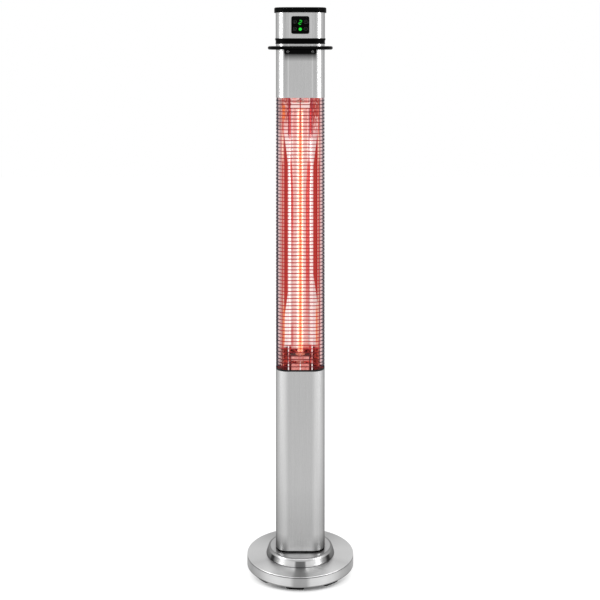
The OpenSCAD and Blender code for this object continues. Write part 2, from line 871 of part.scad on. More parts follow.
// Heating tube. Each end is drawn upwards from the outer face of its end plate
function seat_z(rise) = rise + holder_t;
function socket_z(rise) = seat_z(rise) + ceramic_above - socket_depth;
function pin_z(rise) = socket_z(rise) - pin_in_bore;
function glow_z(rise) = seat_z(rise) + ceramic_above + element_margin;

// Places the lower end on the floor plate, or the upper one, turned over, on the roof plate
module at_floor() translate([0, -tube_front, chamber_z]) children();
module at_roof() translate([0, -tube_front, chamber_top_z]) mirror([0, 0, 1]) children();

module quartz_tube() color("#ffd9b0", 0.5) at_floor() {
    low = socket_z(shelf_rise) + touch_gap;
    high = chamber_h - socket_z(shelf_drop) - touch_gap;
    difference() {
        translate([0, 0, low]) cylinder(d = tube_d, h = high - low);
        cylinder(d = tube_d - 2 * tube_wall, h = chamber_h);
    }
}

module element_pin(rise)
    translate([0, 0, pin_z(rise)]) cylinder(d = element_pin_d, h = glow_z(rise) - pin_z(rise) + over);

module heating_element() color("orangered") {
    at_floor() translate([0, 0, glow_z(shelf_rise)])
        cylinder(d = element_d, h = chamber_h - glow_z(shelf_rise) - glow_z(shelf_drop));
    at_floor() element_pin(shelf_rise);
    at_roof() element_pin(shelf_drop);
}

// Ceramic cap: a flange on the holder, a socket for the tube and a bore for the lead
module tube_cap(rise) difference() {
    union() {
        translate([0, 0, seat_z(rise) - ceramic_below])
            cylinder(d = ceramic_d, h = ceramic_below + ceramic_above);
        translate([0, 0, seat_z(rise)]) cylinder(d = ceramic_flange_d, h = ceramic_flange_t);
    }
    translate([0, 0, socket_z(rise)])
        cylinder(d = tube_d + 2 * thread_gap, h = socket_depth + over);
    translate([0, 0, seat_z(rise) - ceramic_below - over])
        cylinder(d = ceramic_bore_d, h = ceramic_below + 2 * over);
}

module tube_caps() color("white") {
    at_floor() tube_cap(shelf_rise);
    at_roof() tube_cap(shelf_drop);
}

// Holder: a shelf round the cap with a front lip, on two legs
module tube_holder(rise) {
    leg_z = end_plate_t + touch_gap;
    difference() {
        translate([-holder_w / 2, -holder_front, rise])
            cube([holder_w, holder_front + holder_back, holder_t]);
        translate([0, 0, rise - over])
            cylinder(d = ceramic_d + 2 * fit_gap, h = holder_t + 2 * over);
    }
    translate([-holder_w / 2, -holder_front, rise - holder_lip_h])
        cube([holder_w, holder_t, holder_lip_h]);
    for (x = [-holder_w / 2, holder_w / 2 - holder_t])
        translate([x, -holder_leg_d / 2, leg_z]) cube([holder_t, holder_leg_d, rise - leg_z]);
}

module tube_holders() color("darkgray") {
    at_floor() tube_holder(shelf_rise);
    at_roof() tube_holder(shelf_drop);
}

module tube_lead(rise)
    translate([0, 0, -lead_out]) cylinder(d = lead_d, h = lead_out + pin_z(rise) - pin_gap);

module tube_leads() color("firebrick") {
    at_floor() tube_lead(shelf_rise);
    at_roof() tube_lead(shelf_drop);
}

// Upper tube and what it holds

module upper_column() color("lightgray") difference() {
    translate([0, 0, chamber_top_z]) linear_extrude(upper_h) band(0, col_wall);
    rear_screw_holes(high_screw_zs);
    for (side = [-1, 1])
        facing_front(side * handle_screw_x, over - inner_y, handle_screw_z)
            cylinder(d = handle_screw_d + 2 * thread_gap, h = col_wall + 2 * over);
}

module roof_insulation() color("beige") translate([0, 0, chamber_top_z + fit_gap]) difference() {
    linear_extrude(insulation_t) outline(insulation_inset);
    spine_slot(-over, insulation_t + 2 * over);
    translate([0, -tube_front, -over]) cylinder(d = lead_hole_d, h = insulation_t + 2 * over);
}

// Round thermal cut-out with ears and two blades, over the tube's upper lead
module thermal_cutout() color("silver")
    translate([0, -tube_front, chamber_top_z + fit_gap + insulation_t + touch_gap]) difference() {
        union() {
            cylinder(d = cutout_d, h = cutout_h);
            translate([-cutout_ear_w / 2, -cutout_ear_d / 2, 0])
                cube([cutout_ear_w, cutout_ear_d, cutout_ear_t]);
            for (x = [-blade_x, blade_x]) translate([x, 0, cutout_h])
                cube([blade_w, blade_t, 2 * blade_h], center = true);
        }
        translate([0, 0, -over]) cylinder(d = port_d, h = over + cutout_h / 2);
    }

// Plate on the spine with four standoffs
module board_bracket() color("gray") {
    plate_y = spine_front_y - touch_gap - board_plate_t;
    translate([-board_plate_w / 2, plate_y, board_mid_z - board_plate_h / 2])
        cube([board_plate_w, board_plate_t, board_plate_h]);
    for (sx = [-1, 1], sz = [-1, 1])
        facing_front(sx * standoff_x, plate_y, board_mid_z + sz * standoff_z)
            cylinder(d = standoff_d, h = plate_y - power_board_y - board_t - touch_gap);
}

module power_board() color("seagreen")
    translate([-power_board_w / 2, power_board_y, board_z])
        cube([power_board_w, board_t, power_board_h]);

// Two relays, a transformer and two capacitors in front of the board
module power_parts() color("#2b3a55") {
    y = power_board_y - touch_gap;
    for (side = [-1, 1])
        translate([side * relay_x - relay_size[0] / 2, y - relay_size[1], board_z + relay_low])
            cube(relay_size);
    translate([-transformer_size[0] / 2, y - transformer_size[1], board_z + transformer_low])
        cube(transformer_size);
    for (side = [-1, 1])
        facing_front(side * capacitor_x, y, board_z + transformer_low + transformer_size[2] / 2)
            cylinder(d = capacitor_d, h = capacitor_h);
}

// Handle

// Section of the hoop: flat top and bottom, round edges
module hoop_section() {
    square([hoop_band - hoop_h, hoop_h], center = true);
    for (side = [-1, 1]) translate([side * (hoop_band - hoop_h) / 2, 0]) circle(d = hoop_h);
}

module handle_hoop() color("#161618") translate([0, hoop_mid_y, hoop_z]) {
    half_x = hoop_w / 2 - hoop_r;
    half_y = hoop_d / 2 - hoop_r;
    mid_r = hoop_r - hoop_band / 2;
    for (c = [[1, 1, 0], [-1, 1, 90], [-1, -1, 180], [1, -1, 270]])
        translate([c[0] * half_x, c[1] * half_y, 0]) rotate([0, 0, c[2]])
            rotate_extrude(angle = 90) translate([mid_r, 0]) hoop_section();
    for (turn = [0, 180]) rotate([0, 0, turn]) {
        translate([-half_x, half_y + mid_r, 0])
            rotate([90, 0, 90]) linear_extrude(2 * half_x) hoop_section();
        translate([half_x + mid_r, half_y, 0])
            rotate([90, 0, 0]) linear_extrude(2 * half_y) hoop_section();
    }
}

// Everything outside the hoop's inner edge, drawn in by the fit
module saddle_cut() {
    reach = hoop_band + fit_gap;
    difference() {
        square([2 * hoop_w, 2 * hoop_d], center = true);
        rounded(hoop_w - 2 * reach, hoop_d - 2 * reach, hoop_r - reach);
    }
}

// Bracket: a block on the column's front, with a saddle that the hoop lies in
module handle_bracket() color("#161618") {
    bar_z = hoop_z - hoop_h / 2;
    low = bar_z - bracket_h;
    high = bar_z + hoop_h - saddle_drop;
    depth = bracket_face_y - front_y + col_r;
    difference() {
        facing_front(0, depth - bracket_face_y, (low + high) / 2)
            soft_slab(bracket_w, high - low, bracket_r, depth, bracket_edge_r);
        translate([0, 0, low - over]) linear_extrude(high - low + 2 * over) outline(-touch_gap);
        translate([0, hoop_mid_y, bar_z - touch_gap]) linear_extrude(hoop_h + over) saddle_cut();
        for (side = [-1, 1]) facing_front(side * handle_screw_x, 0, handle_screw_z) {
            cylinder(d = handle_screw_d + 2 * thread_gap, h = hoop_front + over);
            translate([0, 0, bracket_face_y - handle_pocket_t])
                cylinder(d = head_d_share * handle_screw_d + 2 * fit_gap, h = handle_pocket_t + over);
        }
    }
}

// Screws through the bracket and the tube, each with its nut
module handle_screws() color("silver") {
    seat = bracket_face_y - handle_pocket_t;
    for (side = [-1, 1]) {
        facing_front(side * handle_screw_x, -seat, handle_screw_z)
            pan_screw(handle_screw_d, seat - handle_nut_y + handle_nut_t + handle_nut_gap);
        facing_front(side * handle_screw_x, handle_nut_t - handle_nut_y, handle_screw_z)
            cylinder(d = hex_share * handle_screw_d, h = handle_nut_t, $fn = 6);
    }
}

// Head

// Collar: two lips on a body, a web round its opening, and plugs into the tube and the housing
module head_collar() color("#161618") translate([0, 0, collar_z]) {
    top_z = collar_h - collar_top_h;
    linear_extrude(collar_low_h) band(-collar_low_out, collar_wall + collar_low_out);
    linear_extrude(collar_h) band(-collar_body_out, collar_wall + collar_body_out);
    translate([0, 0, top_z]) {
        linear_extrude(collar_top_h) band(-collar_top_out, collar_wall + collar_top_out);
        linear_extrude(collar_web_t) band(0, collar_web_w);
        linear_extrude(collar_top_h + plug_h) band(plug_inset - head_out, plug_t);
    }
    translate([0, 0, -plug_h]) linear_extrude(plug_h + collar_low_h) band(plug_inset, plug_t);
}

module head_housing() color("lightgray") difference() {
    translate([0, 0, head_z]) linear_extrude(head_h) band(-head_out, col_wall);
    facing_front(0, over - inner_y, panel_z) linear_extrude(col_wall + head_out + 2 * over)
        rounded(panel_w - 2 * panel_lap, panel_h - 2 * panel_lap, panel_r - panel_lap);
}

// Cap: a softly edged lid that rests on the housing and plugs into it
module head_cap() color("#161618") difference() {
    union() {
        translate([0, 0, cap_z])
            soft_slab(col_w + 2 * cap_out, col_d + 2 * cap_out, col_r + cap_out, cap_h, cap_edge_r);
        translate([0, 0, cap_z - cap_plug_h])
            linear_extrude(cap_plug_h + cap_h / 2) outline(plug_inset - head_out);
    }
    translate([0, 0, cap_z - cap_plug_h - over])
        linear_extrude(cap_plug_h + over + cap_h - cap_wall) outline(plug_inset - head_out + plug_t);
}

// Places something at a depth behind the panel's face, looking to the front
module on_panel(x, z, depth) {
    facing_front(x, depth - panel_face_y, panel_z + z) children();
}

module at_board_posts(depth) {
    for (sx = [-1, 1], sz = [-1, 1])
        on_panel(sx * board_post_x, sz * board_post_z, depth) children();
}

// Bezel: a softly edged plate over the housing, a tray behind it and posts for the board
module panel_bezel() color("#0c0c0e") difference() {
    union() {
        on_panel(0, 0, panel_proud - pin_gap)
            soft_slab(panel_w, panel_h, panel_r, panel_proud - pin_gap, panel_edge_r);
        on_panel(0, 0, panel_tray_d) linear_extrude(panel_tray_d - panel_proud / 2) difference() {
            rounded(tray_w, tray_h, tray_r);
            square([tray_w - 2 * panel_tray_wall, tray_h - 2 * panel_tray_wall], center = true);
        }
        on_panel(0, 0, panel_plate_t) linear_extrude(panel_plate_t - panel_proud / 2)
            rounded(tray_w, tray_h, tray_r);
        at_board_posts(panel_tray_d)
            cylinder(d = board_post_d, h = panel_tray_d - panel_plate_t / 2);
    }
    for (p = button_places) on_panel(p[0], p[1], panel_plate_t + over)
        cylinder(d = button_d + 2 * move_gap, h = panel_plate_t + 2 * over);
    on_panel(0, display_lift, panel_plate_t + over) linear_extrude(panel_plate_t + 2 * over)
        square([display_w + 2 * fit_gap, display_h + 2 * fit_gap], center = true);
    on_panel(0, -lamp_drop, panel_plate_t + over)
        cylinder(d = lamp_d + 2 * fit_gap, h = panel_plate_t + 2 * over);
    at_board_posts(panel_tray_d + over)
        cylinder(d = tiny_screw_d + 2 * thread_gap, h = board_screw_l + over);
}

// Circuit board behind the tray, with two chips on its back
module control_board() color("seagreen") {
    difference() {
        on_panel(0, 0, board_depth + board_t) linear_extrude(board_t)
            square([control_board_w, control_board_h], center = true);
        at_board_posts(board_depth + board_t + over)
            cylinder(d = tiny_screw_d + 2 * thread_gap, h = board_t + 2 * over);
    }
    for (x = [-chip_x, chip_x]) on_panel(x, chip_lift, board_depth + board_t + chip_t)
        linear_extrude(chip_t) square([chip_w, chip_w], center = true);
}

module board_screws() color("silver") at_board_posts(board_depth + board_t)
    rotate([180, 0, 0]) pan_screw(tiny_screw_d, board_t + board_screw_l - fit_gap);

// One push switch behind each button
module panel_switches() color("#2a2a2c") for (p = button_places)
    on_panel(p[0], p[1], board_depth - pin_gap) {
        linear_extrude(switch_h) square(switch_w, center = true);
        cylinder(d = switch_plunger_d, h = switch_h + switch_plunger_h);
    }

// Seven segment digit: each segment is a pointed bar between two corners of a figure of eight
function slanted(p) = [p[0] + p[1] * tan(digit_slant), p[1]];

module segment(from, to) {
    half = segment_share * digit_w / 2;
    along = (to - from) / norm(to - from);
    across = [-along[1], along[0]];
    start = from + along * (half + segment_gap_share * digit_h);
    end = to - along * (half + segment_gap_share * digit_h);
    polygon([for (p = [start - along * half, start + across * half, end + across * half,
        end + along * half, end - across * half, start - across * half]) slanted(p)]);
}

// The five segments of a two
module segments_of_two() {
    x = digit_w * (1 - segment_share) / 2;
    z = digit_h / 2 - digit_w * segment_share / 2;
    segment([-x, z], [x, z]);
    segment([x, z], [x, 0]);
    segment([x, 0], [-x, 0]);
    segment([-x, 0], [-x, -z]);
    segment([-x, -z], [x, -z]);
}

module display_module() color("#0c0c0e") difference() {
    on_panel(0, display_lift, board_depth - pin_gap) linear_extrude(board_depth - pin_gap)
        square([display_w, display_h], center = true);
    on_panel(0, display_lift, segment_t - segment_proud)
        linear_extrude(segment_t + over) segments_of_two();
}

module digit_segments() color("lime")
    on_panel(0, display_lift, segment_t - segment_proud) linear_extrude(segment_t) segments_of_two();

// Power lamp: a lens proud of the panel, a flange behind the plate and a body down to the board
module power_lamp() color("lime") on_panel(0, -lamp_drop, 0) {
    flange_z = -panel_plate_t - touch_gap;
    translate([0, 0, flange_z]) rotate_extrude()
        rim_profile(lamp_d / 2, lamp_proud - flange_z, lamp_proud);
    translate([0, 0, flange_z - lamp_flange_t])
        cylinder(r = lamp_d / 2 + lamp_flange_out, h = lamp_flange_t);
    translate([0, 0, pin_gap - board_depth])
        cylinder(d = lamp_d * lamp_body_share, h = board_depth + flange_z);
}

// A button: head, flange that keeps it in, and stem that reaches for its switch
module button(place) on_panel(place[0], place[1], 0) {
    flange_z = -panel_plate_t - touch_gap;
    stem_z = switch_h + switch_plunger_h + pin_gap + button_travel + touch_gap - board_depth;
    translate([0, 0, flange_z]) rotate_extrude()
        rim_profile(button_d / 2, button_proud - flange_z, button_edge_r);
    translate([0, 0, flange_z - button_flange_t])
        cylinder(r = button_d / 2 + button_flange_out, h = button_flange_t);
    translate([0, 0, stem_z]) cylinder(d = button_stem_d, h = flange_z - stem_z);
}

module button_power() color("#1a1a1c") button(button_places[0]);
module button_timer() color("#1a1a1c") button(button_places[1]);
module button_up() color("#1a1a1c") button(button_places[2]);
module button_down() color("#1a1a1c") button(button_places[3]);

// Ribbon from the control board down to the power board
module panel_cable() color("gray") {
    back_y = board_depth + board_t + touch_gap - panel_face_y;
    low_y = power_board_y - touch_gap - cable_t;
    board_top_z = board_z + power_board_h;
    path = [[back_y, head_z + cable_up], [back_y, collar_z - cable_bend],
        [low_y, board_top_z + cable_bend], [low_y, board_top_z - cable_lap]];
    rest = [for (i = [len(path) - 1 : -1 : 0]) path[i] + [cable_t, 0]];
    translate([-cable_w / 2, 0, 0]) rotate([90, 0, 90])
        linear_extrude(cable_w) polygon(concat(path, rest));
}

base_shell();
base_ballast();
base_plate();
rubber_feet();
plate_screws();
base_flange();
column_gasket();
column_foot();
base_bolts();
foot_screws();
lower_column();
cord_gland();
gland_nut();
spine_channel();
tilt_bracket();
tilt_pivot();
tilt_pendulum();
reed_switch();
terminal_block();
supply_harness();
chamber_floor();
chamber_roof();
rear_shell();
rear_screws();
reflector();
reflector_clips();
cage_wires();
cage_rods();
quartz_tube();
heating_element();
tube_caps();
tube_holders();
tube_leads();
upper_column();
roof_insulation();
thermal_cutout();
board_bracket();
power_board();
power_parts();
handle_hoop();
handle_bracket();
handle_screws();
head_collar();
head_housing();
head_cap();
panel_bezel();
control_board();
board_screws();
panel_switches();
display_module();
digit_segments();
power_lamp();
button_power();
button_timer();
button_up();
button_down();
panel_cable();
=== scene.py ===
import bpy
import json
import math
import numpy as np
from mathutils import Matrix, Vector


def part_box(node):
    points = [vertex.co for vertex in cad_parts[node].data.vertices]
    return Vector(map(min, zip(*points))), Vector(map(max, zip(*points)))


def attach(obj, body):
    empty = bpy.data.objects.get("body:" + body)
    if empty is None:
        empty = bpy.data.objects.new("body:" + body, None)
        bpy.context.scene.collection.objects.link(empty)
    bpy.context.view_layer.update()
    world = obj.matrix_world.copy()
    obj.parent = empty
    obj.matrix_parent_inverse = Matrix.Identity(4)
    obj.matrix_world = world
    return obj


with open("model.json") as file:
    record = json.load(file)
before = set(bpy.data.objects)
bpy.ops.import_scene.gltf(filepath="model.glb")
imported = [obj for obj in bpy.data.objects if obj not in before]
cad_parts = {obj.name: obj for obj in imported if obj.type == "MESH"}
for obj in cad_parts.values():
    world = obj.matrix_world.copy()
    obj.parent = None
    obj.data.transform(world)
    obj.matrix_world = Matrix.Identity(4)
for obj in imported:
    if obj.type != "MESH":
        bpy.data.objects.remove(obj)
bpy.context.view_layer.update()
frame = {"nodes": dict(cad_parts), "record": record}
nodes = frame["nodes"]
print("frame loaded:", len(nodes), "nodes")


def grey(level):
    return (level, level, level, 1.0)


class Wire:
    # a shader socket that adds, subtracts, multiplies and divides like a number
    def __init__(self, tree, socket):
        self.tree = tree
        self.socket = socket

    def reckon(self, operation, left, right=None):
        node = self.tree.nodes.new("ShaderNodeMath")
        node.operation = operation
        for place, value in enumerate((left, right)):
            if isinstance(value, Wire):
                self.tree.links.new(value.socket, node.inputs[place])
            elif value is not None:
                node.inputs[place].default_value = value
        return Wire(self.tree, node.outputs[0])

    def __add__(self, other):
        return self.reckon("ADD", self, other)

    __radd__ = __add__

    def __sub__(self, other):
        return self.reckon("SUBTRACT", self, other)

    def __rsub__(self, other):
        return self.reckon("SUBTRACT", other, self)

    def __mul__(self, other):
        return self.reckon("MULTIPLY", self, other)

    __rmul__ = __mul__

    def __truediv__(self, other):
        return self.reckon("DIVIDE", self, other)

    def __pow__(self, other):
        return self.reckon("POWER", self, other)

    def bigger(self, other):
        return self.reckon("MAXIMUM", self, other)

    def smaller(self, other):
        return self.reckon("MINIMUM", self, other)

    def size(self):
        return self.reckon("ABSOLUTE", self)

    def clipped(self):
        return self.bigger(0.0).smaller(1.0)

    def scaled(self, gain, start):
        return self * gain + start

    def rising(self, low, high):
        # 0 up to low, 1 from high on, and a straight line between
        return ((self - low) / (high - low)).clipped()

    def within(self, low, high, soft):
        # 1 between low and high, fading to 0 over a soft edge
        return ((self - low) / soft + 0.5).clipped() * ((high - self) / soft + 0.5).clipped()


class Graph:
    # the nodes of one material or world
    def __init__(self, owner):
        owner.use_nodes = True
        self.owner = owner
        self.tree = owner.node_tree
        self.tree.nodes.clear()

    def add(self, kind, settings=None, inputs=None, output=0):
        node = self.tree.nodes.new("ShaderNode" + kind)
        for key, value in (settings or {}).items():
            if key == "stops":
                self.fill(node.color_ramp, value)
            else:
                setattr(node, key, value)
        for key, value in (inputs or {}).items():
            if isinstance(value, Wire):
                self.tree.links.new(value.socket, node.inputs[key])
            else:
                node.inputs[key].default_value = value
        return Wire(self.tree, node.outputs[output])

    def fill(self, ramp, stops):
        # each stop is a place on the ramp with a level of grey or a colour
        while len(ramp.elements) < len(stops):
            ramp.elements.new(0.5)
        for element, (place, level) in zip(ramp.elements, stops):
            element.position = place
            element.color = (*level, 1.0) if isinstance(level, tuple) else grey(level)

    def ramp(self, stops, share):
        return self.add("ValToRGB", {"stops": stops}, {"Fac": share})

    def point(self, output="Object"):
        return self.add("TexCoord", output=output)

    def axis(self, letter, scale=1000.0):
        # the way along X, Y or Z, in millimetres unless another scale is given
        return self.add("SeparateXYZ", inputs={"Vector": self.point()}, output=letter) * scale

    def noise(self, stretch, size, detail=3.0, rough=0.5):
        place = self.add("Mapping", inputs={"Vector": self.point(), "Scale": stretch})
        return self.add("TexNoise", inputs={"Vector": place, "Scale": size, "Detail": detail,
                                            "Roughness": rough})

    def blend(self, factor, first, second, way="MIX"):
        # sockets 6 and 7, and 2 on the way out, are the Mix node's colours
        settings = {"data_type": "RGBA", "blend_type": way}
        return self.add("Mix", settings, {0: factor, 6: first, 7: second}, 2)

    def times(self, first, second):
        return self.blend(1.0, first, second, "MULTIPLY")

    def bump(self, height, distance, strength=1.0):
        return self.add("Bump", inputs={"Height": height, "Distance": distance, "Strength": strength})

    def end(self, shader, kind="OutputMaterial"):
        out = self.tree.nodes.new("ShaderNode" + kind)
        self.tree.links.new(shader.socket, out.inputs[0])
        return self.owner


def material(name):
    return Graph(bpy.data.materials.new(name))


def principled(graph, **sockets):
    inputs = {key.replace("_", " "): value for key, value in sockets.items()}
    return graph.end(graph.add("BsdfPrincipled", inputs=inputs))


# In the looks, heights, ways and depths are millimetres. A pair is where something starts and ends
# rising, or a gain and a start. Three numbers are the low end, the high end and the soft edge of a span.
# A noise is its stretch, its size, its detail and sometimes its roughness.
zone = {"floor": 424.0, "roof": 848.0, "tubeTo": 880.0}
wires = {"first": 393.9, "pitch": 6.85}
sides = (-1.0, 1.0)  # from the left half to the right half

# brushed steel of the column, the head and the rear shell
columnLook = {
    "along": 0.012, "lines": 2600.0, "streaks": 320.0, "clouds": 9.0, "shares": (0.45, 0.35, 0.2),
    "dark": 0.40, "light": 0.53, "rough": 0.22, "spread": 0.14, "edge": 0.42, "depth": 0.00002,
    "half": 46.3, "gain": 1.2, "fade": (-4.0, 16.0),
}
# how flats and corners take the light: shares of the half width from the middle, each with a level
upperBands = [(0.0, 0.83), (0.465, 0.83), (0.482, 1.0), (0.505, 1.0), (0.53, 0.83), (0.61, 0.81),
              (0.655, 0.68), (0.70, 0.78), (1.0, 0.83)]
headBands = [(0.0, 0.86), (0.40, 0.86), (0.44, 0.98), (0.48, 0.84), (0.58, 0.90), (0.64, 0.76),
             (0.70, 0.68), (0.76, 0.64), (0.83, 0.70), (0.90, 0.78), (1.0, 0.80)]
lowerBands = [(0.0, 0.74), (0.47, 0.74), (0.53, 0.80), (0.58, 0.87), (0.63, 0.89), (0.70, 0.86),
              (0.76, 0.82), (0.82, 0.76), (0.87, 0.71), (0.92, 0.67), (1.0, 0.62)]
# painted reflection and shade on the lower column's last 160 mm down to the flange: shares of that height,
# each with a level
lowerFoot = {
    "low": 40.0, "high": 200.0, "full": 0.75,
    "levels": [(0.0, 0.96), (0.05, 0.94), (0.10, 0.80), (0.14, 0.71), (0.20, 0.65), (0.36, 0.66),
               (0.51, 0.695), (0.65, 0.72), (0.78, 0.75)],
    "cornerWay": (21.0, 28.0), "cornerHeight": (56.0, 74.0), "cornerLevel": (0.48, 0.52),
}
# soft dark under the handle's bracket, on the front only
bracketShade = {"height": (976.5, 992.0), "end": (1000.0, 1001.0), "way": (-31.0, 31.0, 4.0),
                "front": (-33.0, -31.0)}
# the returns beside the mirror are lit by the tube, reddest next to it, with two brighter lines on the right
returnLook = {
    "from": 34.0, "to": 46.3, "side": (46.0, 46.3), "front": (4.3, 4.6), "steel": (0.20, 0.10, 0.09, 1),
    "floor": (zone["floor"] - 8, zone["floor"] + 4), "floorLevel": (0.25, 0.75),
    "roof": (835.0, 850.0), "roofLess": 0.34, "clouds": (0.4, 0.8),
    "nearLine": (36.8, 41.4, 0.8), "nearGain": 0.75, "farLine": (42.6, 46.3, 0.8), "farGain": 0.35,
    "reds": [(0.0, (0.56, 0.09, 0.06)), (0.1, (0.52, 0.17, 0.14)), (0.3, (0.66, 0.33, 0.31)),
             (0.5, (0.60, 0.42, 0.42)), (0.7, (0.56, 0.43, 0.44)), (1.0, (0.80, 0.68, 0.70))],
}


# painted reflection and shade near the flange, with the corners kept darker low down
def footLevel(g, x, z, foot):
    flat = g.ramp(foot["levels"], (z - foot["low"]) / (foot["high"] - foot["low"]))
    corner = flat.smaller(foot["full"]) * z.rising(*foot["cornerHeight"]).scaled(*foot["cornerLevel"])
    turned = x.size().rising(*foot["cornerWay"])
    return (flat * (1 - turned) + corner * turned) / foot["full"]


def shadeLevel(x, y, z, shade):
    dim = z.rising(*shade["height"]) * (1 - z.rising(*shade["end"])) * x.within(*shade["way"])
    return 1 - dim * (1 - y.rising(*shade["front"]))


# painted red light from the tube on the returns, reddest next to it, with two brighter lines
def paintedReturnGlow(g, x, z, warm, cloud, lit):
    reds = g.ramp(lit["reds"], (x.size() - lit["from"]) / (lit["to"] - lit["from"]))
    level = z.rising(*lit["floor"]).scaled(*lit["floorLevel"]) - z.rising(*lit["roof"]) * lit["roofLess"]
    lift = x.within(*lit["nearLine"]) * lit["nearGain"] + x.within(*lit["farLine"]) * lit["farGain"] + 1.0
    return g.blend((warm * level * cloud.scaled(*lit["clouds"]) * lift).clipped(), grey(0.0), reds)


def brushedSteel(name, look, bands=None, foot=None, shade=None, lit=None):
    # fine lines along Z: noise squeezed across the brushing and drawn out along it
    g = material(name)
    fine = g.noise((1, 1, look["along"]), look["lines"], 2.0)
    broad = g.noise((1, 1, look["along"] * 0.6), look["streaks"], 2.0)
    cloud = g.noise((1, 1, 0.5), look["clouds"], 2.0)
    x, y, z = g.axis("X"), g.axis("Y"), g.axis("Z")
    fineShare, broadShare, cloudShare = look["shares"]
    mix = (fine * fineShare + broad * broadShare + cloud * cloudShare).clipped()
    colour = g.blend(mix, grey(look["dark"]), grey(look["light"]))
    if bands:
        # the painted light bands stand on the front half, and the rear half keeps the level of the middle
        front = g.ramp(bands, x.size() / look["half"])
        level = (front + (bands[0][1] - front) * y.rising(*look["fade"])) * look["gain"]
        if foot:
            level = level * footLevel(g, x, z, foot)
        if shade:
            level = level * shadeLevel(x, y, z, shade)
        colour = g.times(colour, level)
    emitted = grey(0.0)
    if lit:
        # painted red light from the tube: a red-brown base colour and a red glow on the returns
        warm = (1 - y.rising(*lit["front"])) * (1 - x.size().rising(*lit["side"]))
        colour = g.blend(warm, colour, lit["steel"])
        emitted = paintedReturnGlow(g, x, z, warm, cloud, lit)
    return principled(g, Base_Color=colour, Metallic=1.0, Specular_Tint=grey(look["edge"]),
                      Roughness=fine.scaled(look["spread"], look["rough"]),
                      Normal=g.bump(fine, look["depth"], 0.6), Emission_Color=emitted, Emission_Strength=1.0)


# turned steel of the base: painted light levels round the axis, by the share of a half turn from the front
turnedLook = {"lines": 1500.0, "clouds": 14.0, "shares": (0.6, 0.4), "dark": 0.80, "light": 1.20,
              "rough": 0.3, "spread": 0.16, "edge": 0.5, "depth": 0.00003}
coverLook = dict(
    turnedLook, flankTop=(23.2, 24.2),
    cones=[(0.0, 0.36), (0.03, 0.42), (0.055, 0.70), (0.11, 0.74), (0.2, 0.78), (0.27, 0.66), (0.34, 0.57),
           (0.40, 0.63), (0.55, 0.65), (0.68, 0.58), (0.80, 0.46), (0.87, 0.50), (1.0, 0.40)],
    flank=[(0.0, 0.29), (0.035, 0.31), (0.06, 0.54), (0.14, 0.60), (0.2, 0.54), (0.27, 0.40), (0.35, 0.38),
           (0.42, 0.50), (0.6, 0.52), (0.8, 0.43), (1.0, 0.36)],
    # the shadow line of the groove, and the lower edge, which turns away from the light
    groove={"height": (23.7, 25.2, 0.4), "reach": (100.0, 100.3), "level": 0.16},
    foot={"height": (7.9, 9.0), "level": 0.20})
flangeLook = dict(
    turnedLook, rough=0.26, flankTop=(35.5, 36.5),
    cones=[(0.0, 0.74), (0.06, 0.80), (0.14, 0.82), (0.22, 0.72), (0.3, 0.58), (0.38, 0.54), (0.5, 0.52),
           (0.7, 0.48), (1.0, 0.42)],
    flank=[(0.0, 0.12), (0.04, 0.14), (0.058, 0.54), (0.11, 0.50), (0.17, 0.34), (0.22, 0.20), (0.265, 0.15),
           (0.295, 0.03), (0.325, 0.03), (0.35, 0.16), (0.42, 0.28), (0.6, 0.45), (0.8, 0.3), (1.0, 0.2)],
    # the rounded edge between the flank and the top face takes half of the painted light
    dimmedEdge={"reach": (57.0, 58.2), "less": 0.5})


def turnedSteel(name, look):
    # turned rings from radius and height, and broad painted cones of light and dark round the axis
    g = material(name)
    x, y, z = g.axis("X"), g.axis("Y"), g.axis("Z")
    radius = (x * x + y * y) ** 0.5
    line = g.add("CombineXYZ", inputs={"X": radius * 0.001, "Y": z * 0.001})
    rings = g.add("TexNoise", {"noise_dimensions": "2D"},
                  {"Vector": line, "Scale": look["lines"], "Detail": 3.0})
    cloud = g.noise((1, 1, 1), look["clouds"], 3.0)
    share = g.add("Math", {"operation": "ARCTAN2"}, {0: x.size(), 1: 0 - y}) / math.pi
    level = g.ramp(look["cones"], share)
    if "dimmedEdge" in look:
        level = g.times(level, 1 - radius.rising(*look["dimmedEdge"]["reach"]) * look["dimmedEdge"]["less"])
    level = g.blend(z.rising(*look["flankTop"]), g.ramp(look["flank"], share), level)
    ringShare, cloudShare = look["shares"]
    tone = g.blend(rings * ringShare + cloud * cloudShare, grey(look["dark"]), grey(look["light"]))
    colour = g.times(level, tone)
    if "groove" in look:
        groove, foot = look["groove"], look["foot"]
        cut = z.within(*groove["height"]) * radius.rising(*groove["reach"])
        colour = g.blend(cut, colour, grey(groove["level"]))
        colour = g.blend(z.rising(*foot["height"]), grey(foot["level"]), colour)
    return principled(g, Base_Color=colour, Metallic=1.0, Specular_Tint=grey(look["edge"]),
                      Roughness=rings.scaled(look["spread"], look["rough"]),
                      Normal=g.bump(rings, look["depth"], 0.8))


# plastics, plated parts, fibres and boards
blackLook = {"grain": 1500.0, "wear": 35.0, "worn": 0.06, "dark": 0.0006, "light": 0.0014, "rough": 0.36,
             "spread": 0.16, "depth": 0.00004, "strength": 0.5, "shine": 0.02}
innerLook = dict(blackLook, grain=900.0, spread=0.2, depth=0.0001, shine=0.5)
platedLook = {"cloud": 160.0, "scratch": 300.0, "shares": (0.7, 0.3), "metal": 1.0, "scratchRough": 0.12,
              "cloudRough": 0.1, "strength": 0.4}
fibreLook = {"fibre": ((1, 1, 6), 260.0, 6.0, 0.7), "lump": 40.0, "shares": (0.6, 0.4), "rough": 0.93,
             "depth": 0.0006, "strength": 0.8}
boardLook = {"tracks": 240.0, "gain": 1.4, "cloud": 60.0, "dark": (0.02, 0.17, 0.07, 1),
             "light": (0.04, 0.26, 0.12, 1), "rough": (0.2, 0.25), "depth": 0.00005, "strength": 0.4}
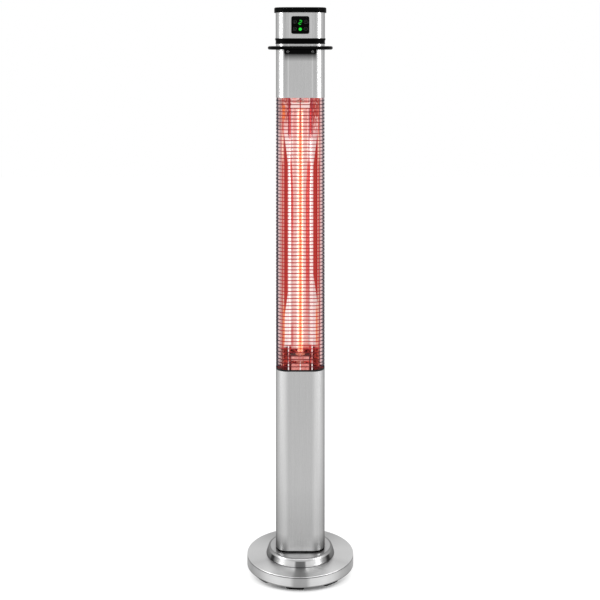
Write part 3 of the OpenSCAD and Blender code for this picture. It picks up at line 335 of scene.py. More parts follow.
ribbonLook = {"ribs": 250.0, "wear": 90.0, "dark": 0.42, "light": 0.56, "rough": (0.2, 0.4),
              "depth": 0.0004, "strength": 0.8}
greenLook = {"cells": 500.0, "dark": (0.0, 0.48, 0.005, 1), "light": (0.005, 0.80, 0.02, 1),
             "off": (0.01, 0.12, 0.02, 1), "rough": 0.3, "shine": 0.1}


def mouldedPlastic(name, look):
    # fine moulded grain with faint cloudy wear
    g = material(name)
    grain = g.noise((1, 1, 1), look["grain"], 4.0, 0.6)
    wear = g.noise((1, 1, 1), look["wear"], 4.0)
    colour = g.blend(wear, grey(look["dark"]), grey(look["light"]))
    return principled(g, Base_Color=colour, Specular_IOR_Level=look["shine"],
                      Roughness=grain * look["spread"] + wear * look["worn"] + look["rough"],
                      Normal=g.bump(grain, look["depth"], look["strength"]))


def platedMetal(name, look):
    # rolled or plated sheet: cloudy plating with short scratches
    g = material(name)
    cloud = g.noise((1, 1, 1), look["cloud"], 4.0, 0.55)
    scratch = g.noise((1, 6, 1), look["scratch"], 2.0)
    cloudShare, scratchShare = look["shares"]
    mix = (cloud * cloudShare + scratch * scratchShare).clipped()
    colour = g.blend(mix, grey(look["dark"]), grey(look["light"]))
    rough = scratch * look["scratchRough"] + cloud * look["cloudRough"] + look["rough"]
    return principled(g, Base_Color=colour, Metallic=look["metal"], Roughness=rough,
                      Normal=g.bump(scratch + cloud, look["depth"], look["strength"]))


def pressedFibre(name, look, dark, light):
    g = material(name)
    fibre = g.noise(*look["fibre"])
    lump = g.noise((1, 1, 1), look["lump"], 3.0)
    fibreShare, lumpShare = look["shares"]
    colour = g.blend((fibre * fibreShare + lump * lumpShare).clipped(), dark, light)
    return principled(g, Base_Color=colour, Roughness=look["rough"],
                      Normal=g.bump(fibre, look["depth"], look["strength"]))


def circuitBoard(name, look):
    g = material(name)
    tracks = g.add("TexVoronoi", {"distance": "CHEBYCHEV"}, {"Vector": g.point(), "Scale": look["tracks"]})
    cloud = g.noise((1, 1, 1), look["cloud"], 2.0)
    colour = g.blend((tracks * look["gain"]).clipped(), look["dark"], look["light"])
    return principled(g, Base_Color=colour, Roughness=cloud.scaled(*look["rough"]),
                      Normal=g.bump(tracks, look["depth"], look["strength"]))


def ribbedRibbon(name, look):
    g = material(name)
    ribs = g.add("TexWave", {"bands_direction": "X"}, {"Vector": g.point(), "Scale": look["ribs"]})
    wear = g.noise((1, 1, 1), look["wear"], 3.0)
    colour = g.blend(wear, grey(look["dark"]), grey(look["light"]))
    return principled(g, Base_Color=colour, Roughness=wear.scaled(*look["rough"]),
                      Normal=g.bump(ribs, look["depth"], look["strength"]))


def litGreen(name, look):
    g = material(name)
    cells = g.noise((1, 1, 1), look["cells"], 2.0)
    return principled(g, Base_Color=look["off"], Roughness=look["rough"], Specular_IOR_Level=look["shine"],
                      Emission_Color=g.blend(cells, look["dark"], look["light"]), Emission_Strength=1.0)


# the lit heating section: colours of the painted glow and reflections of the tube; the near-black one is
# painted shade where that light doesn't reach
red = {
    "deep": (0.47, 0.052, 0.038, 1), "line": (0.34, 0.012, 0.015, 1), "rim": (0.36, 0.012, 0.008, 1),
    "thin": (0.70, 0.060, 0.050, 1), "dark": (0.64, 0.075, 0.060, 1), "unlitBlack": (0.02, 0.002, 0.003, 1),
    "salmon": (0.70, 0.17, 0.135, 1), "pink": (0.93, 0.62, 0.58, 1), "blush": (0.80, 0.66, 0.64, 1),
    "white": (0.97, 0.88, 0.85, 1), "cream": (0.87, 0.58, 0.53, 1), "orange": (1.0, 0.22, 0.04, 1),
}


def wireWave(z, drop=0.0):
    # 1 at the height of each wire and 0 half way between two
    turn = (z + drop - wires["first"]) / wires["pitch"]
    return turn.reckon("PINGPONG", turn, 0.5).scaled(-2.0, 1.0)


# the mirror sheet, from the middle outwards; lip and wedge ways count from the lip's inner edge
mirrorLook = {
    "lines": ((1, 1, 0.02), 900.0, 2.0), "cloud": ((1, 1, 0.3), 30.0, 3.0),
    "mottle": ((1, 1, 1), 260.0, 3.0, 0.7), "flecks": ((1, 1, 0.45), 330.0, 2.0, 0.6),
    "dark": 0.22, "light": 0.34, "rear": 0.5, "rough": (0.06, 0.16), "edge": 0.15, "depth": 0.00004,
    "glow": 0.82, "frontNormal": (-0.15, 0.05),
    # pale ground, with painted reflections of the wires in it and flecks between them
    "creamWay": (8.0, 15.0, 2.0), "drop": 3.4, "streakWay": (6.0, 17.0, 4.0), "streakFrom": 0.35,
    "streakGain": 0.75, "fleck": (3.0, -1.75), "fleckGain": 0.4,
    "warmHeight": (815.0, 845.0), "warm": (0.95, 0.70, 0.70, 1),
    # the folds beside the thin line and at the lip turn to the side lamps, so they throw back less
    "foldWay": (14.5, 18.8, 1.0), "lipFold": (30.2, 31.2), "foldLess": 0.88,
}
wedgeLook = {
    "grow": (475.0, 530.0), "rightLater": 32.0, "shrink": (772.0, 838.0), "wide": 8.4, "soft": 1.2,
    "lip": (1.9, 31.6), "rimWay": (-2.2, -0.2, 0.6), "rimHeight": (500.0, 560.0), "rimGain": 0.8,
}
thinLook = {  # the thin red line between the middle and the wedge
    "way": (-1.4, 15.8), "lean": (715.0, 840.0), "leanBy": (0.8, 4.4), "half": (1.4, 2.3), "soft": 1.2,
    "taper": (740.0, 840.0), "taperBy": 0.4, "left": (560.0, 670.0), "leftLevel": (0.6, 0.3),
    "leftFoot": (420.0, 462.0, 16.0), "footGain": 0.4, "right": (440.0, 560.0), "rightLevel": (0.75, 0.15),
    "gap": (782.0, 828.0, 20.0), "gapLess": (0.4, 0.5), "deepHeight": (770.0, 830.0),
}
lipLook = {
    "wide": 6.0, "start": (0.0, 0.8), "pale": (1.0, 0.74, 0.58, 1),
    "reds": [(0.0, (0.84, 0.19, 0.15)), (0.26, (0.84, 0.19, 0.15)), (0.40, (0.52, 0.125, 0.095)),
             (0.60, (0.52, 0.125, 0.095)), (0.75, (0.98, 0.52, 0.49)), (1.0, (0.98, 0.52, 0.49))],
    "highWay": (1.5, 3.7, 0.6), "highPale": (786.0, 836.0, 20.0),
    "lowWay": (-0.4, 2.4, 0.6), "lowPale": (440.0, 530.0, 30.0), "lowGain": 0.6,
}
topLook = {  # mottled red and pink behind the roof, and an orange patch
    "height": (844.0, 868.0), "rightSooner": 12.0, "way": (17.0, 22.0), "wayLevel": (0.85, 0.1),
    "lipLess": 0.7, "mottle": (4.0, -1.6), "rightDark": (862.0, 872.0), "rightLess": 0.5,
    "patchWay": (29.5, 34.5, 2.0), "patchHeight": (862.0, 893.0, 8.0),
    "footWay": (30.0, 33.6, 1.0), "footHeight": (426.0, 500.0, 20.0), "orange": (0.6, 0.5),
}
# painted reflections behind the shelf, with painted shade beside the rods
lowLook = {  # behind the shelf: mottled dark red, two black bars, black beside the rods, and the lip
    "height": (zone["floor"] - 4, zone["floor"] + 0.5), "middle": (16.5, 18.0), "drop": (-1.5, 6.5),
    "salmonHeight": (zone["floor"] - 2, zone["floor"] + 4), "salmonGain": 0.8,
    "barWay": (5.0, 18.5, 0.8), "barHeight": (408.5, 414.5, 1.0), "barGain": 0.4,
    "postWay": (-8.2, -6.2, 0.8), "postGain": 0.8, "edgeWay": (-5.8, -5.0), "lipLevel": 0.85,
    "mottle": (3.6, -1.0), "speckle": (6.0, -2.6), "dark": 0.30, "light": 1.22,
}


def thinLine(out, right, z, look):
    # a line whose middle leans outwards towards the roof, weaker on the left and in a gap under the roof
    centre = right.scaled(*look["way"]) + z.rising(*look["lean"]) * right.scaled(*look["leanBy"])
    half = right.scaled(*look["half"]) * (1 - z.rising(*look["taper"]) * right * look["taperBy"])
    shape = ((half - (out - centre).size()) / look["soft"] + 0.5).clipped()
    left = z.rising(*look["left"]).scaled(*look["leftLevel"]) + z.within(*look["leftFoot"]) * look["footGain"]
    level = left * (1 - right) + z.rising(*look["right"]).scaled(*look["rightLevel"]) * right
    return shape * level * (1 - z.within(*look["gap"]) * right.scaled(*look["gapLess"]))


def lipColours(g, beyond, z, look):
    colours = g.ramp(look["reds"], beyond / look["wide"])
    high = beyond.within(*look["highWay"]) * z.within(*look["highPale"])
    low = beyond.within(*look["lowWay"]) * z.within(*look["lowPale"]) * look["lowGain"]
    return g.blend(high.bigger(low), colours, look["pale"])


def shelfColours(g, out, beyond, z, mottle, past, lips, look):
    bars = out.within(*look["barWay"]) * z.within(*look["barHeight"]) * look["barGain"]
    posts = beyond.within(*look["postWay"]) * look["postGain"]
    dim = g.blend(mottle.scaled(*look["mottle"]).clipped(), red["unlitBlack"], red["dark"])
    dim = g.blend(bars.bigger(posts), dim, red["unlitBlack"])
    edge = g.blend(past, red["deep"], g.times(lips, grey(look["lipLevel"])))
    dim = g.blend(beyond.rising(*look["edgeWay"]), dim, edge)
    speckle = mottle.scaled(*look["speckle"]).clipped()
    return g.times(dim, g.blend(speckle, grey(look["dark"]), grey(look["light"])))


def mirrorSheet(name, look):
    # painted reflections of the tube in the folds, from the middle outwards: pale, a thin red line,
    # white, a deep red wedge that narrows to both ends, and a salmon lip
    g = material(name)
    x, z = g.axis("X"), g.axis("Z")
    out = x.size()
    right = x.rising(*sides)
    lines, cloud = g.noise(*look["lines"]), g.noise(*look["cloud"])
    mottle, flecks = g.noise(*look["mottle"]), g.noise(*look["flecks"])

    grow = (z - right * wedgeLook["rightLater"]).rising(*wedgeLook["grow"])
    grow = grow * (1 - z.rising(*wedgeLook["shrink"]))
    lip = right.scaled(*wedgeLook["lip"])
    beyond = out - lip
    wedge = out.within(lip - grow * wedgeLook["wide"], lip, wedgeLook["soft"]) * grow.rising(0.0, 0.1)
    rim = beyond.within(*wedgeLook["rimWay"]) * z.rising(*wedgeLook["rimHeight"]) * wedgeLook["rimGain"]
    past = beyond.rising(*lipLook["start"])
    lips = lipColours(g, beyond, z, lipLook)

    colour = g.blend(out.within(*look["creamWay"]), g.blend(right, red["white"], red["blush"]), red["cream"])
    streak = wireWave(z, look["drop"]) * out.within(*look["streakWay"]).scaled(0.5, 0.5)
    colour = g.blend((streak - look["streakFrom"]).clipped() * look["streakGain"], colour, red["salmon"])
    colour = g.blend(flecks.scaled(*look["fleck"]).clipped() * look["fleckGain"], colour, red["pink"])
    colour = g.blend(z.rising(*look["warmHeight"]), colour, g.times(colour, look["warm"]))
    colour = g.blend(wedge, colour, g.blend(rim, red["deep"], red["rim"]))
    colour = g.blend(past * (1 - wedge), colour, lips)

    darker = right * z.rising(*topLook["rightDark"]) * topLook["rightLess"]
    top = g.blend((flecks.scaled(*topLook["mottle"]) - darker).clipped(), red["deep"], red["pink"])
    upper = (z + right * topLook["rightSooner"]).rising(*topLook["height"])
    upper = upper * out.rising(*topLook["way"]).scaled(*topLook["wayLevel"]) * (1 - past * topLook["lipLess"])
    colour = g.blend(upper, colour, top)
    deeper = g.blend(z.rising(*thinLook["deepHeight"]), red["thin"], red["line"])
    colour = g.blend(thinLine(out, right, z, thinLook), colour, deeper)
    patch = out.within(*topLook["patchWay"]) * z.within(*topLook["patchHeight"]) * (1 - right)
    foot = out.within(*topLook["footWay"]) * z.within(*topLook["footHeight"])
    colour = g.blend(patch.bigger(foot) * mottle.scaled(*topLook["orange"]), colour, red["orange"])

    sunk = (1 - out.rising(*lowLook["middle"])) * right.scaled(*lowLook["drop"])
    low = 1 - (z + sunk).rising(*lowLook["height"])
    blush = right * (1 - z.rising(*lowLook["salmonHeight"])) * lowLook["salmonGain"]
    colour = g.blend(blush, colour, red["salmon"])
    colour = g.blend(low, colour, shelfColours(g, out, beyond, z, mottle, past, lips, lowLook))

    # only the front of the sheet carries the painted reflections and glow
    normal = g.add("SeparateXYZ", inputs={"Vector": g.point("Normal")}, output="Y")
    front = 1 - normal.rising(*look["frontNormal"])
    turned = 1 - out.rising(*look["lipFold"]).bigger(out.within(*look["foldWay"])) * look["foldLess"]
    base = g.times(g.times(colour, g.blend(cloud, grey(look["dark"]), grey(look["light"]))), turned)
    return principled(g, Base_Color=g.blend(front, grey(look["rear"]), base), Metallic=1.0,
                      Roughness=lines.scaled(*look["rough"]), Specular_Tint=grey(look["edge"]),
                      Normal=g.bump(lines, look["depth"], 0.5),
                      Emission_Color=g.blend(front, grey(0.0), colour), Emission_Strength=look["glow"])


# wires: blue grey at the sides; a painted glow from the tube makes them dark red over the mirror and orange
# where one crosses the tube
wireLook = {
    "scale": ((1, 1, 1), 220.0, 4.0), "dark": (0.012, 0.010, 0.020, 1), "light": (0.045, 0.035, 0.055, 1),
    "inWay": (36.0, 41.0), "inDepth": (-16.0, -8.0), "inside": (0.05, 0.008, 0.009, 1),
    "tubeWay": (3.0, 5.0), "overTube": (0.80, 0.045, 0.012, 1), "overMirror": (0.36, 0.008, 0.014, 1),
    "floor": (zone["floor"] - 4, zone["floor"] + 6), "floorLevel": (0.75, 0.25),
    "roof": (zone["roof"], zone["tubeTo"]), "roofLess": 0.45,
    "metal": 0.6, "rough": (0.15, 0.35), "shine": 0.2, "depth": 0.00002,
}
# rods, in a painted glow from the tube: dark red near the roof, pale in the middle, white near the floor,
# orange before the tube
rodLook = dict(
    wireLook, scale=((1, 1, 0.3), 220.0, 4.0), dark=(0.02, 0.016, 0.024, 1), light=(0.06, 0.045, 0.06, 1),
    wave=(0.2, 0.7), between=(0.92, 0.35, 0.09, 1), behindWire=(0.85, 0.06, 0.015, 1),
    nearWay=(2.0, 4.0), pale=(0.95, 0.76, 0.74, 1), highHeight=(828.0, 838.0), high=(0.30, 0.008, 0.012, 1),
    footHeight=(398.0, 404.0), foot=(0.85, 0.72, 0.70, 1), shelf=(0.50, 0.18, 0.16, 1),
    shelfHeight=(418.0, 426.0), sideWay=(36.0, 40.0))


# emitted is the painted glow of the tube's light on the wires and rods
def darkWire(g, look, scale, metal, emitted):
    return principled(g, Base_Color=metal, Metallic=look["metal"], Roughness=scale.scaled(*look["rough"]),
                      Specular_IOR_Level=look["shine"], Normal=g.bump(scale, look["depth"], 0.4),
                      Emission_Color=emitted, Emission_Strength=1.0)


def glowPaintedWire(name, look):
    g = material(name)
    y, z = g.axis("Y"), g.axis("Z")
    out = g.axis("X").size()
    scale = g.noise(*look["scale"])
    inside = (1 - out.rising(*look["inWay"])) * (1 - y.rising(*look["inDepth"]))
    # inside the cage the base turns dark red, a painted tint of the tube's light
    metal = g.blend(inside, g.blend(scale, look["dark"], look["light"]), look["inside"])
    glowing = g.blend(out.rising(*look["tubeWay"]), look["overTube"], look["overMirror"])
    lively = z.rising(*look["floor"]).scaled(*look["floorLevel"])
    upper = 1 - z.rising(*look["roof"]) * look["roofLess"]
    return darkWire(g, look, scale, metal, g.blend(inside * lively * upper, grey(0.0), glowing))


def glowPaintedRod(name, look):
    g = material(name)
    z = g.axis("Z")
    out = g.axis("X").size()
    scale = g.noise(*look["scale"])
    metal = g.blend(scale, look["dark"], look["light"])
    # painted shade where each wire crosses in front of the rod
    near = g.blend(wireWave(z).rising(*look["wave"]), look["between"], look["behindWire"])
    pale = g.blend(out.rising(*look["nearWay"]), near, look["pale"])
    emitted = g.blend(z.rising(*look["highHeight"]), pale, look["high"])
    base = g.blend(z.rising(*look["footHeight"]), look["foot"], look["shelf"])
    emitted = g.blend(z.rising(*look["shelfHeight"]), base, emitted)
    return darkWire(g, look, scale, metal, g.blend(out.rising(*look["sideWay"]), emitted, grey(0.0)))


# the tube: wound carbon with hot ridges between cooler gaps, clear quartz and a white coating
carbonLook = {
    "turns": {"Scale": 46.0, "Distortion": 2.5, "Detail": 2.0, "Detail Scale": 4.0},
    "emitted": ((1, 1, 0.4), 60.0, 2.0), "lower": (480.0, 800.0), "shares": (0.55, 0.4, 0.25), "less": 0.2,
    "cool": (1.0, 0.08, 0.010, 1), "hot": (1.0, 0.42, 0.08, 1), "off": (0.3, 0.08, 0.03, 1), "rough": 0.6,
    "glow": 1.25,
}
quartzLook = {
    "cords": ((1, 1, 0.03), 700.0, 2.0), "clear": (0.1, 0.12), "tint": (1.0, 0.93, 0.86, 1), "rough": 0.06,
    "endHeight": (422.0, 436.0), "end": (0.62, 0.12, 0.06, 1), "emitted": (0.95, 0.45, 0.21, 1), "glow": 0.7,
}
coatingLook = {
    "cloud": ((1, 1, 0.2), 90.0, 3.0), "dark": (1.0, 0.80, 0.66, 1), "light": (1.0, 0.95, 0.88, 1),
    "endHeight": (422.0, 436.0), "end": (0.60, 0.16, 0.10, 1), "off": 0.8, "rough": (0.1, 0.5), "glow": 1.2,
    "inset": 0.0013, "sweep": 170.0, "margin": 0.012, "around": 40, "along": 60,
}
ceramicLook = {
    "speck": ((1, 1, 1), 900.0, 3.0, 0.7), "cloud": ((1, 1, 1), 60.0, 3.0), "share": 0.5,
    "dark": (0.55, 0.34, 0.28, 1), "light": (0.76, 0.56, 0.48, 1), "lowHeight": (440.0, 450.0),
    "low": (0.72, 0.34, 0.28, 1), "glowHeight": (415.0, 890.0, 10.0), "emitted": (0.65, 0.16, 0.08, 1),
    "rough": (0.15, 0.5), "depth": 0.00006, "glow": 0.7,
}


def glowingCarbon(name, look):
    g = material(name)
    turns = g.add("TexWave", {"bands_direction": "Z"}, dict(look["turns"], Vector=g.point()))
    emitted = g.noise(*look["emitted"])
    lower = 1 - g.axis("Z").rising(*look["lower"])
    turnShare, heatShare, lowerShare = look["shares"]
    mix = (turns * turnShare + emitted * heatShare + lower * lowerShare - look["less"]).clipped()
    return principled(g, Base_Color=look["off"], Roughness=look["rough"],
                      Emission_Color=g.blend(mix, look["cool"], look["hot"]), Emission_Strength=look["glow"])


def fusedQuartz(name, look):
    # clear tube with faint drawn cords, and a painted glow from the carbon, redder at the lower end
    g = material(name)
    emitted = g.blend(g.axis("Z").rising(*look["endHeight"]), look["end"], look["emitted"])
    return principled(g, Base_Color=look["tint"], Roughness=look["rough"],
                      Alpha=g.noise(*look["cords"]).scaled(*look["clear"]),
                      Emission_Color=emitted, Emission_Strength=look["glow"])


def whiteCoating(name, look):
    # the coating's emission is a painted glow from the carbon, redder at the lower end
    g = material(name)
    cloud = g.noise(*look["cloud"])
    emitted = g.blend(cloud, look["dark"], look["light"])
    emitted = g.blend(g.axis("Z").rising(*look["endHeight"]), look["end"], emitted)
    return principled(g, Base_Color=grey(look["off"]), Roughness=cloud.scaled(*look["rough"]),
                      Emission_Color=emitted, Emission_Strength=look["glow"])


def ceramicBody(name, look):
    g = material(name)
    z = g.axis("Z")
    speck, cloud = g.noise(*look["speck"]), g.noise(*look["cloud"])
    mix = (speck * look["share"] + cloud * (1 - look["share"])).clipped()
    colour = g.blend(mix, look["dark"], look["light"])
    # redder and darker below 440 to 450 mm, and a painted glow from the tube between 415 and 890 mm
    colour = g.blend(z.rising(*look["lowHeight"]), g.times(colour, look["low"]), colour)
    emitted = g.blend(z.within(*look["glowHeight"]), grey(0.0), look["emitted"])
    return principled(g, Base_Color=colour, Roughness=cloud.scaled(*look["rough"]),
                      Normal=g.bump(speck, look["depth"], 0.5),
                      Emission_Color=emitted, Emission_Strength=look["glow"])


# painted glow from the tube on the sheet steel inside the cage: red streaks near the roof; near the floor
# salmon in the middle, dark red beside it, two black bars in front of the shelf, and painted shade at the
# outer edges all round the plan
sheetLook = {
    "mottle": ((1, 1, 1), 320.0, 4.0, 0.75), "streaks": ((1, 1, 0.4), 300.0, 3.0, 0.7),
    "grain": ((1, 1, 1), 1200.0, 2.0), "metal": 0.01, "rough": (0.2, 0.4), "shine": 0.2, "depth": 0.00003,
    "low": (0.40, 0.030, 0.024, 1), "middle": (0.80, 0.33, 0.29, 1), "high": (0.42, 0.02, 0.02, 1),
    "pale": (0.93, 0.66, 0.62, 1), "edge": (0.001, 0.001, 0.002, 1),
    "middleWay": (16.5, 18.0), "shelfHeight": (409.0, 409.6), "sideMottle": (6.0, -3.0),
    "middleMottle": (3.6, -1.1), "barWay": (5.0, 18.5, 0.8), "barDepth": (-13.0, -1.0, 1.5),
    "postWay": (17.2, 19.2, 0.8), "rodWay": (22.6, 25.0, 0.8), "rightRod": 1.5, "postGain": 0.85,
    "highWay": (16.0, 19.0), "highSpread": (1.3, 0.6), "streakGain": 4.5, "highHeight": (600.0, 700.0),
    "cornerX": 23.3, "cornerY": 11.0, "cornerRadius": (20.6, 21.4),
}


def glowPaintedSheet(name, look):
    g = material(name)
    x, y, z = g.axis("X"), g.axis("Y"), g.axis("Z")
    out = x.size()
    mottle, streaks, grain = g.noise(*look["mottle"]), g.noise(*look["streaks"]), g.noise(*look["grain"])
    shelf = z.rising(*look["shelfHeight"])
    middle = (1 - out.rising(*look["middleWay"])) * (1 - shelf)
    side = g.blend(mottle.scaled(*look["sideMottle"]).clipped(), red["unlitBlack"], look["low"])
    salmon = g.blend(mottle.scaled(*look["middleMottle"]).clipped(), look["low"], look["middle"])
    low = g.blend(middle, side, salmon)
    bars = out.within(*look["barWay"]) * y.within(*look["barDepth"]) * shelf
    low = g.blend(bars, low, red["unlitBlack"])
    rods = (out - x.rising(*sides) * look["rightRod"]).within(*look["rodWay"])
    low = g.blend((out.within(*look["postWay"]) + rods) * look["postGain"], low, red["unlitBlack"])
    spread = out.rising(*look["highWay"]).scaled(*look["highSpread"])
    high = g.blend((streaks * look["streakGain"] - spread).clipped(), look["high"], look["pale"])
    emitted = g.blend(z.rising(*look["highHeight"]), low, high)
    corner = (out - look["cornerX"]).bigger(0.0) ** 2 + (y.size() - look["cornerY"]).bigger(0.0) ** 2
    inner = 1 - (corner ** 0.5).rising(*look["cornerRadius"])
    return principled(g, Base_Color=grey(look["metal"]), Metallic=0.7, Roughness=grain.scaled(*look["rough"]),
                      Specular_IOR_Level=look["shine"], Normal=g.bump(grain, look["depth"], 0.5),
                      Emission_Color=g.blend(inner, look["edge"], emitted), Emission_Strength=1.0)


finishes = {
    "brushed_column": brushedSteel("brushedColumn", columnLook),
    "polished_base": turnedSteel("turnedFlange", flangeLook),
    "cast_iron": platedMetal("castIron", dict(platedLook, cloud=120.0, dark=0.05, light=0.09, rough=0.6,
                                              metal=0.6, depth=0.0004)),
    "zinc": platedMetal("zincPlate", dict(platedLook, dark=0.36, light=0.52, rough=0.25, depth=0.00003)),
    "bright_screw": platedMetal("brightScrew", dict(platedLook, cloud=300.0, dark=0.05, light=0.10,
                                                    rough=0.22, depth=0.00001)),
    "die_cast": platedMetal("dieCast", dict(platedLook, cloud=200.0, dark=0.2, light=0.32, rough=0.4,
                                            depth=0.0001)),
    "rubber": mouldedPlastic("softRubber", dict(blackLook, grain=1100.0, rough=0.6, spread=0.2,
                                                depth=0.0001)),
    "dark_metal": glowPaintedSheet("darkSheet", sheetLook),
    "wire_metal": glowPaintedWire("glowPaintedWire", wireLook),
    "mirror_sheet": mirrorSheet("mirrorSheet", mirrorLook),
    "quartz": fusedQuartz("fusedQuartz", quartzLook),
    "glow": glowingCarbon("glowingCarbon", carbonLook),
    "ceramic": ceramicBody("steatite", ceramicLook),
    "lead": pressedFibre("glassSleeve", fibreLook, (0.22, 0.04, 0.03, 1), (0.36, 0.09, 0.06, 1)),
    "cable": mouldedPlastic("cableJacket", dict(innerLook, dark=0.012, light=0.03, rough=0.45)),
    "ribbon": ribbedRibbon("ribbonCable", ribbonLook),
    "mineral": pressedFibre("mineralFibre", fibreLook, (0.5, 0.46, 0.36, 1), (0.74, 0.70, 0.60, 1)),
    "circuit": circuitBoard("circuitBoard", boardLook),
    "component": mouldedPlastic("partHousing", dict(innerLook, dark=0.02, light=0.05, rough=0.4)),
    "black_plastic": mouldedPlastic("blackPlastic", blackLook),
    "gloss_handle": mouldedPlastic("hoopPlastic", dict(blackLook, rough=0.24, spread=0.1)),
    "panel_gloss": mouldedPlastic("panelGloss", dict(blackLook, rough=0.08, spread=0.04, strength=0.15)),
    "button_plastic": mouldedPlastic("buttonPlastic", dict(blackLook, rough=0.2, spread=0.1)),
    "green_light": litGreen("litGreen", greenLook),
}
special = {  # pieces whose finish depends on their place
    "base_shell": turnedSteel("turnedCover", coverLook),
    "lower_column": brushedSteel("brushedLower", columnLook, lowerBands, foot=lowerFoot),
    "upper_column": brushedSteel("brushedUpper", columnLook, upperBands, shade=bracketShade),
    "head_housing": brushedSteel("brushedHead", columnLook, headBands),
    "rear_shell": brushedSteel("brushedShell", columnLook, lit=returnLook),
    "cage_rods": glowPaintedRod("glowPaintedRod", rodLook),
    "tube_holders": glowPaintedSheet("glowPaintedHolder", dict(sheetLook, metal=0.05)),
}

slotOf = {row["node"]: row["material_slot"] for row in frame["record"]["subparts"]}
for name, obj in nodes.items():
    finish = special.get(name) or finishes[slotOf[name]]
    if not obj.material_slots:
        obj.data.materials.append(finish)
    for held in obj.material_slots:
        held.material = finish
print("materials:", len(finishes) + len(special))


def surface(name, points, closedU=False, closedV=False):
    # a grid of points, rows by columns, joined into quads; a closed way joins its last line to its first
    rows, columns = points.shape[:2]
    index = np.arange(rows * columns).reshape(rows, columns)
    if closedU:
        index = np.concatenate([index, index[:1]], axis=0)
    if closedV:
        index = np.concatenate([index, index[:, :1]], axis=1)
    corners = [index[:-1, :-1], index[:-1, 1:], index[1:, 1:], index[1:, :-1]]
    quads = np.stack(corners, axis=-1).reshape(-1, 4)
    mesh = bpy.data.meshes.new(name)
    mesh.vertices.add(rows * columns)
    mesh.vertices.foreach_set("co", points.astype(np.float32).ravel())
    mesh.loops.add(quads.size)
    mesh.loops.foreach_set("vertex_index", quads.ravel().astype(np.int32))
    mesh.polygons.add(len(quads))
    mesh.polygons.foreach_set("loop_start", np.arange(0, quads.size, 4, dtype=np.int32))
    mesh.polygons.foreach_set("use_smooth", np.ones(len(quads), dtype=bool))
    mesh.update(calc_edges=True)
    mesh.validate()
    obj = bpy.data.objects.new(name, mesh)
    bpy.context.scene.collection.objects.link(obj)
    return obj


def dress(obj, finish, body):
    obj.data.materials.append(finish)
    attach(obj, body)


# printed marks on the keys, in metres: a ring round each key's edge, and a short plain sign inside it
keyLook = {"radius": 0.0032, "width": 0.0004, "rise": 0.00008, "around": 48, "across": 9, "lift": 0.00001,
           "worn": 2500.0, "dark": 0.035, "light": 0.06, "rough": (0.2, 0.4), "shine": 0.1}
keySigns = {  # strokes as middle x, middle z, width and height, in millimetres
    "power": [(0.0, 0.35, 0.4, 1.5), (0.0, -1.1, 1.5, 0.4)],
    "timer": [(0.0, 0.45, 0.4, 1.5), (0.55, -0.2, 1.2, 0.4)],
    "up": [(0.0, 0.0, 2.0, 0.45), (0.0, 0.0, 0.45, 2.0)],
    "down": [(0.0, 0.0, 2.0, 0.45)],
}


def printedGrey(name, look):
    g = material(name)
    worn = g.noise((1, 1, 1), look["worn"], 3.0)
    return principled(g, Base_Color=g.blend(worn, grey(look["dark"]), grey(look["light"])),
                      Roughness=worn.scaled(*look["rough"]), Specular_IOR_Level=look["shine"])


def faceOf(node):
    low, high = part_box(node)
    return (low[0] + high[0]) / 2, low[1], (low[2] + high[2]) / 2


def ringOn(name, node, body, finish, look):
    # a flat-topped profile carried round the key's axis
    centreX, faceY, centreZ = faceOf(node)
    turn = np.linspace(0, 2 * math.pi, look["around"], endpoint=False)
    half = look["width"] / 2
    radius = look["radius"] + np.array([-half, -half * 0.7, half * 0.7, half])[None, :]
    rises = np.array([0.0, look["rise"], look["rise"], 0.0])
    points = np.stack([centreX + radius * np.cos(turn)[:, None],
                       np.broadcast_to(faceY - rises[None, :], (len(turn), 4)),
                       centreZ + radius * np.sin(turn)[:, None]], axis=-1)
    dress(surface(name, points, closedU=True, closedV=True), finish, body)


def signOn(name, node, body, strokes, finish, look):
    # each stroke is a low pillow: its height falls with the fourth power of the way to its edge
    centreX, faceY, centreZ = faceOf(node)
    steps = np.linspace(-1, 1, look["across"])
    u, v = np.meshgrid(steps, steps, indexing="ij")
    rise = look["rise"] * (1 - u ** 4) * (1 - v ** 4)
    for number, (midX, midZ, wide, high) in enumerate(strokes):
        points = np.stack([centreX + (midX + u * wide / 2) * 0.001, faceY - rise - look["lift"],
                           centreZ + (midZ + v * high / 2) * 0.001], axis=-1)
        dress(surface(name + "_" + str(number), points[::-1]), finish, body)


marks = printedGrey("printedGrey", keyLook)
for key, strokes in keySigns.items():
    ringOn("ring_" + key, "button_" + key, "button_" + key + "_cap", marks, keyLook)
    signOn("sign_" + key, "button_" + key, "button_" + key + "_cap", strokes, marks, keyLook)


def boreCoating(name, node, look):
    # part of a cylinder, open at the front, inside the rear half of the tube's bore
    low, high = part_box(node)
    reach = (high[0] - low[0]) / 2 - look["inset"]
    turn = np.radians(np.linspace(90 - look["sweep"] / 2, 90 + look["sweep"] / 2, look["around"]))
    height = np.linspace(low[2] + look["margin"], high[2] - look["margin"], look["along"])
    shape = (look["along"], look["around"])
    points = np.stack([np.broadcast_to(reach * np.cos(turn)[None, :], shape),
                       np.broadcast_to((low[1] + high[1]) / 2 + reach * np.sin(turn)[None, :], shape),
                       np.broadcast_to(height[:, None], shape)], axis=-1)
    return surface(name, points)


coating = boreCoating("tube_coating", "quartz_tube", coatingLook)
dress(coating, whiteCoating("whiteCoating", coatingLook), "heater")
print("pieces made")


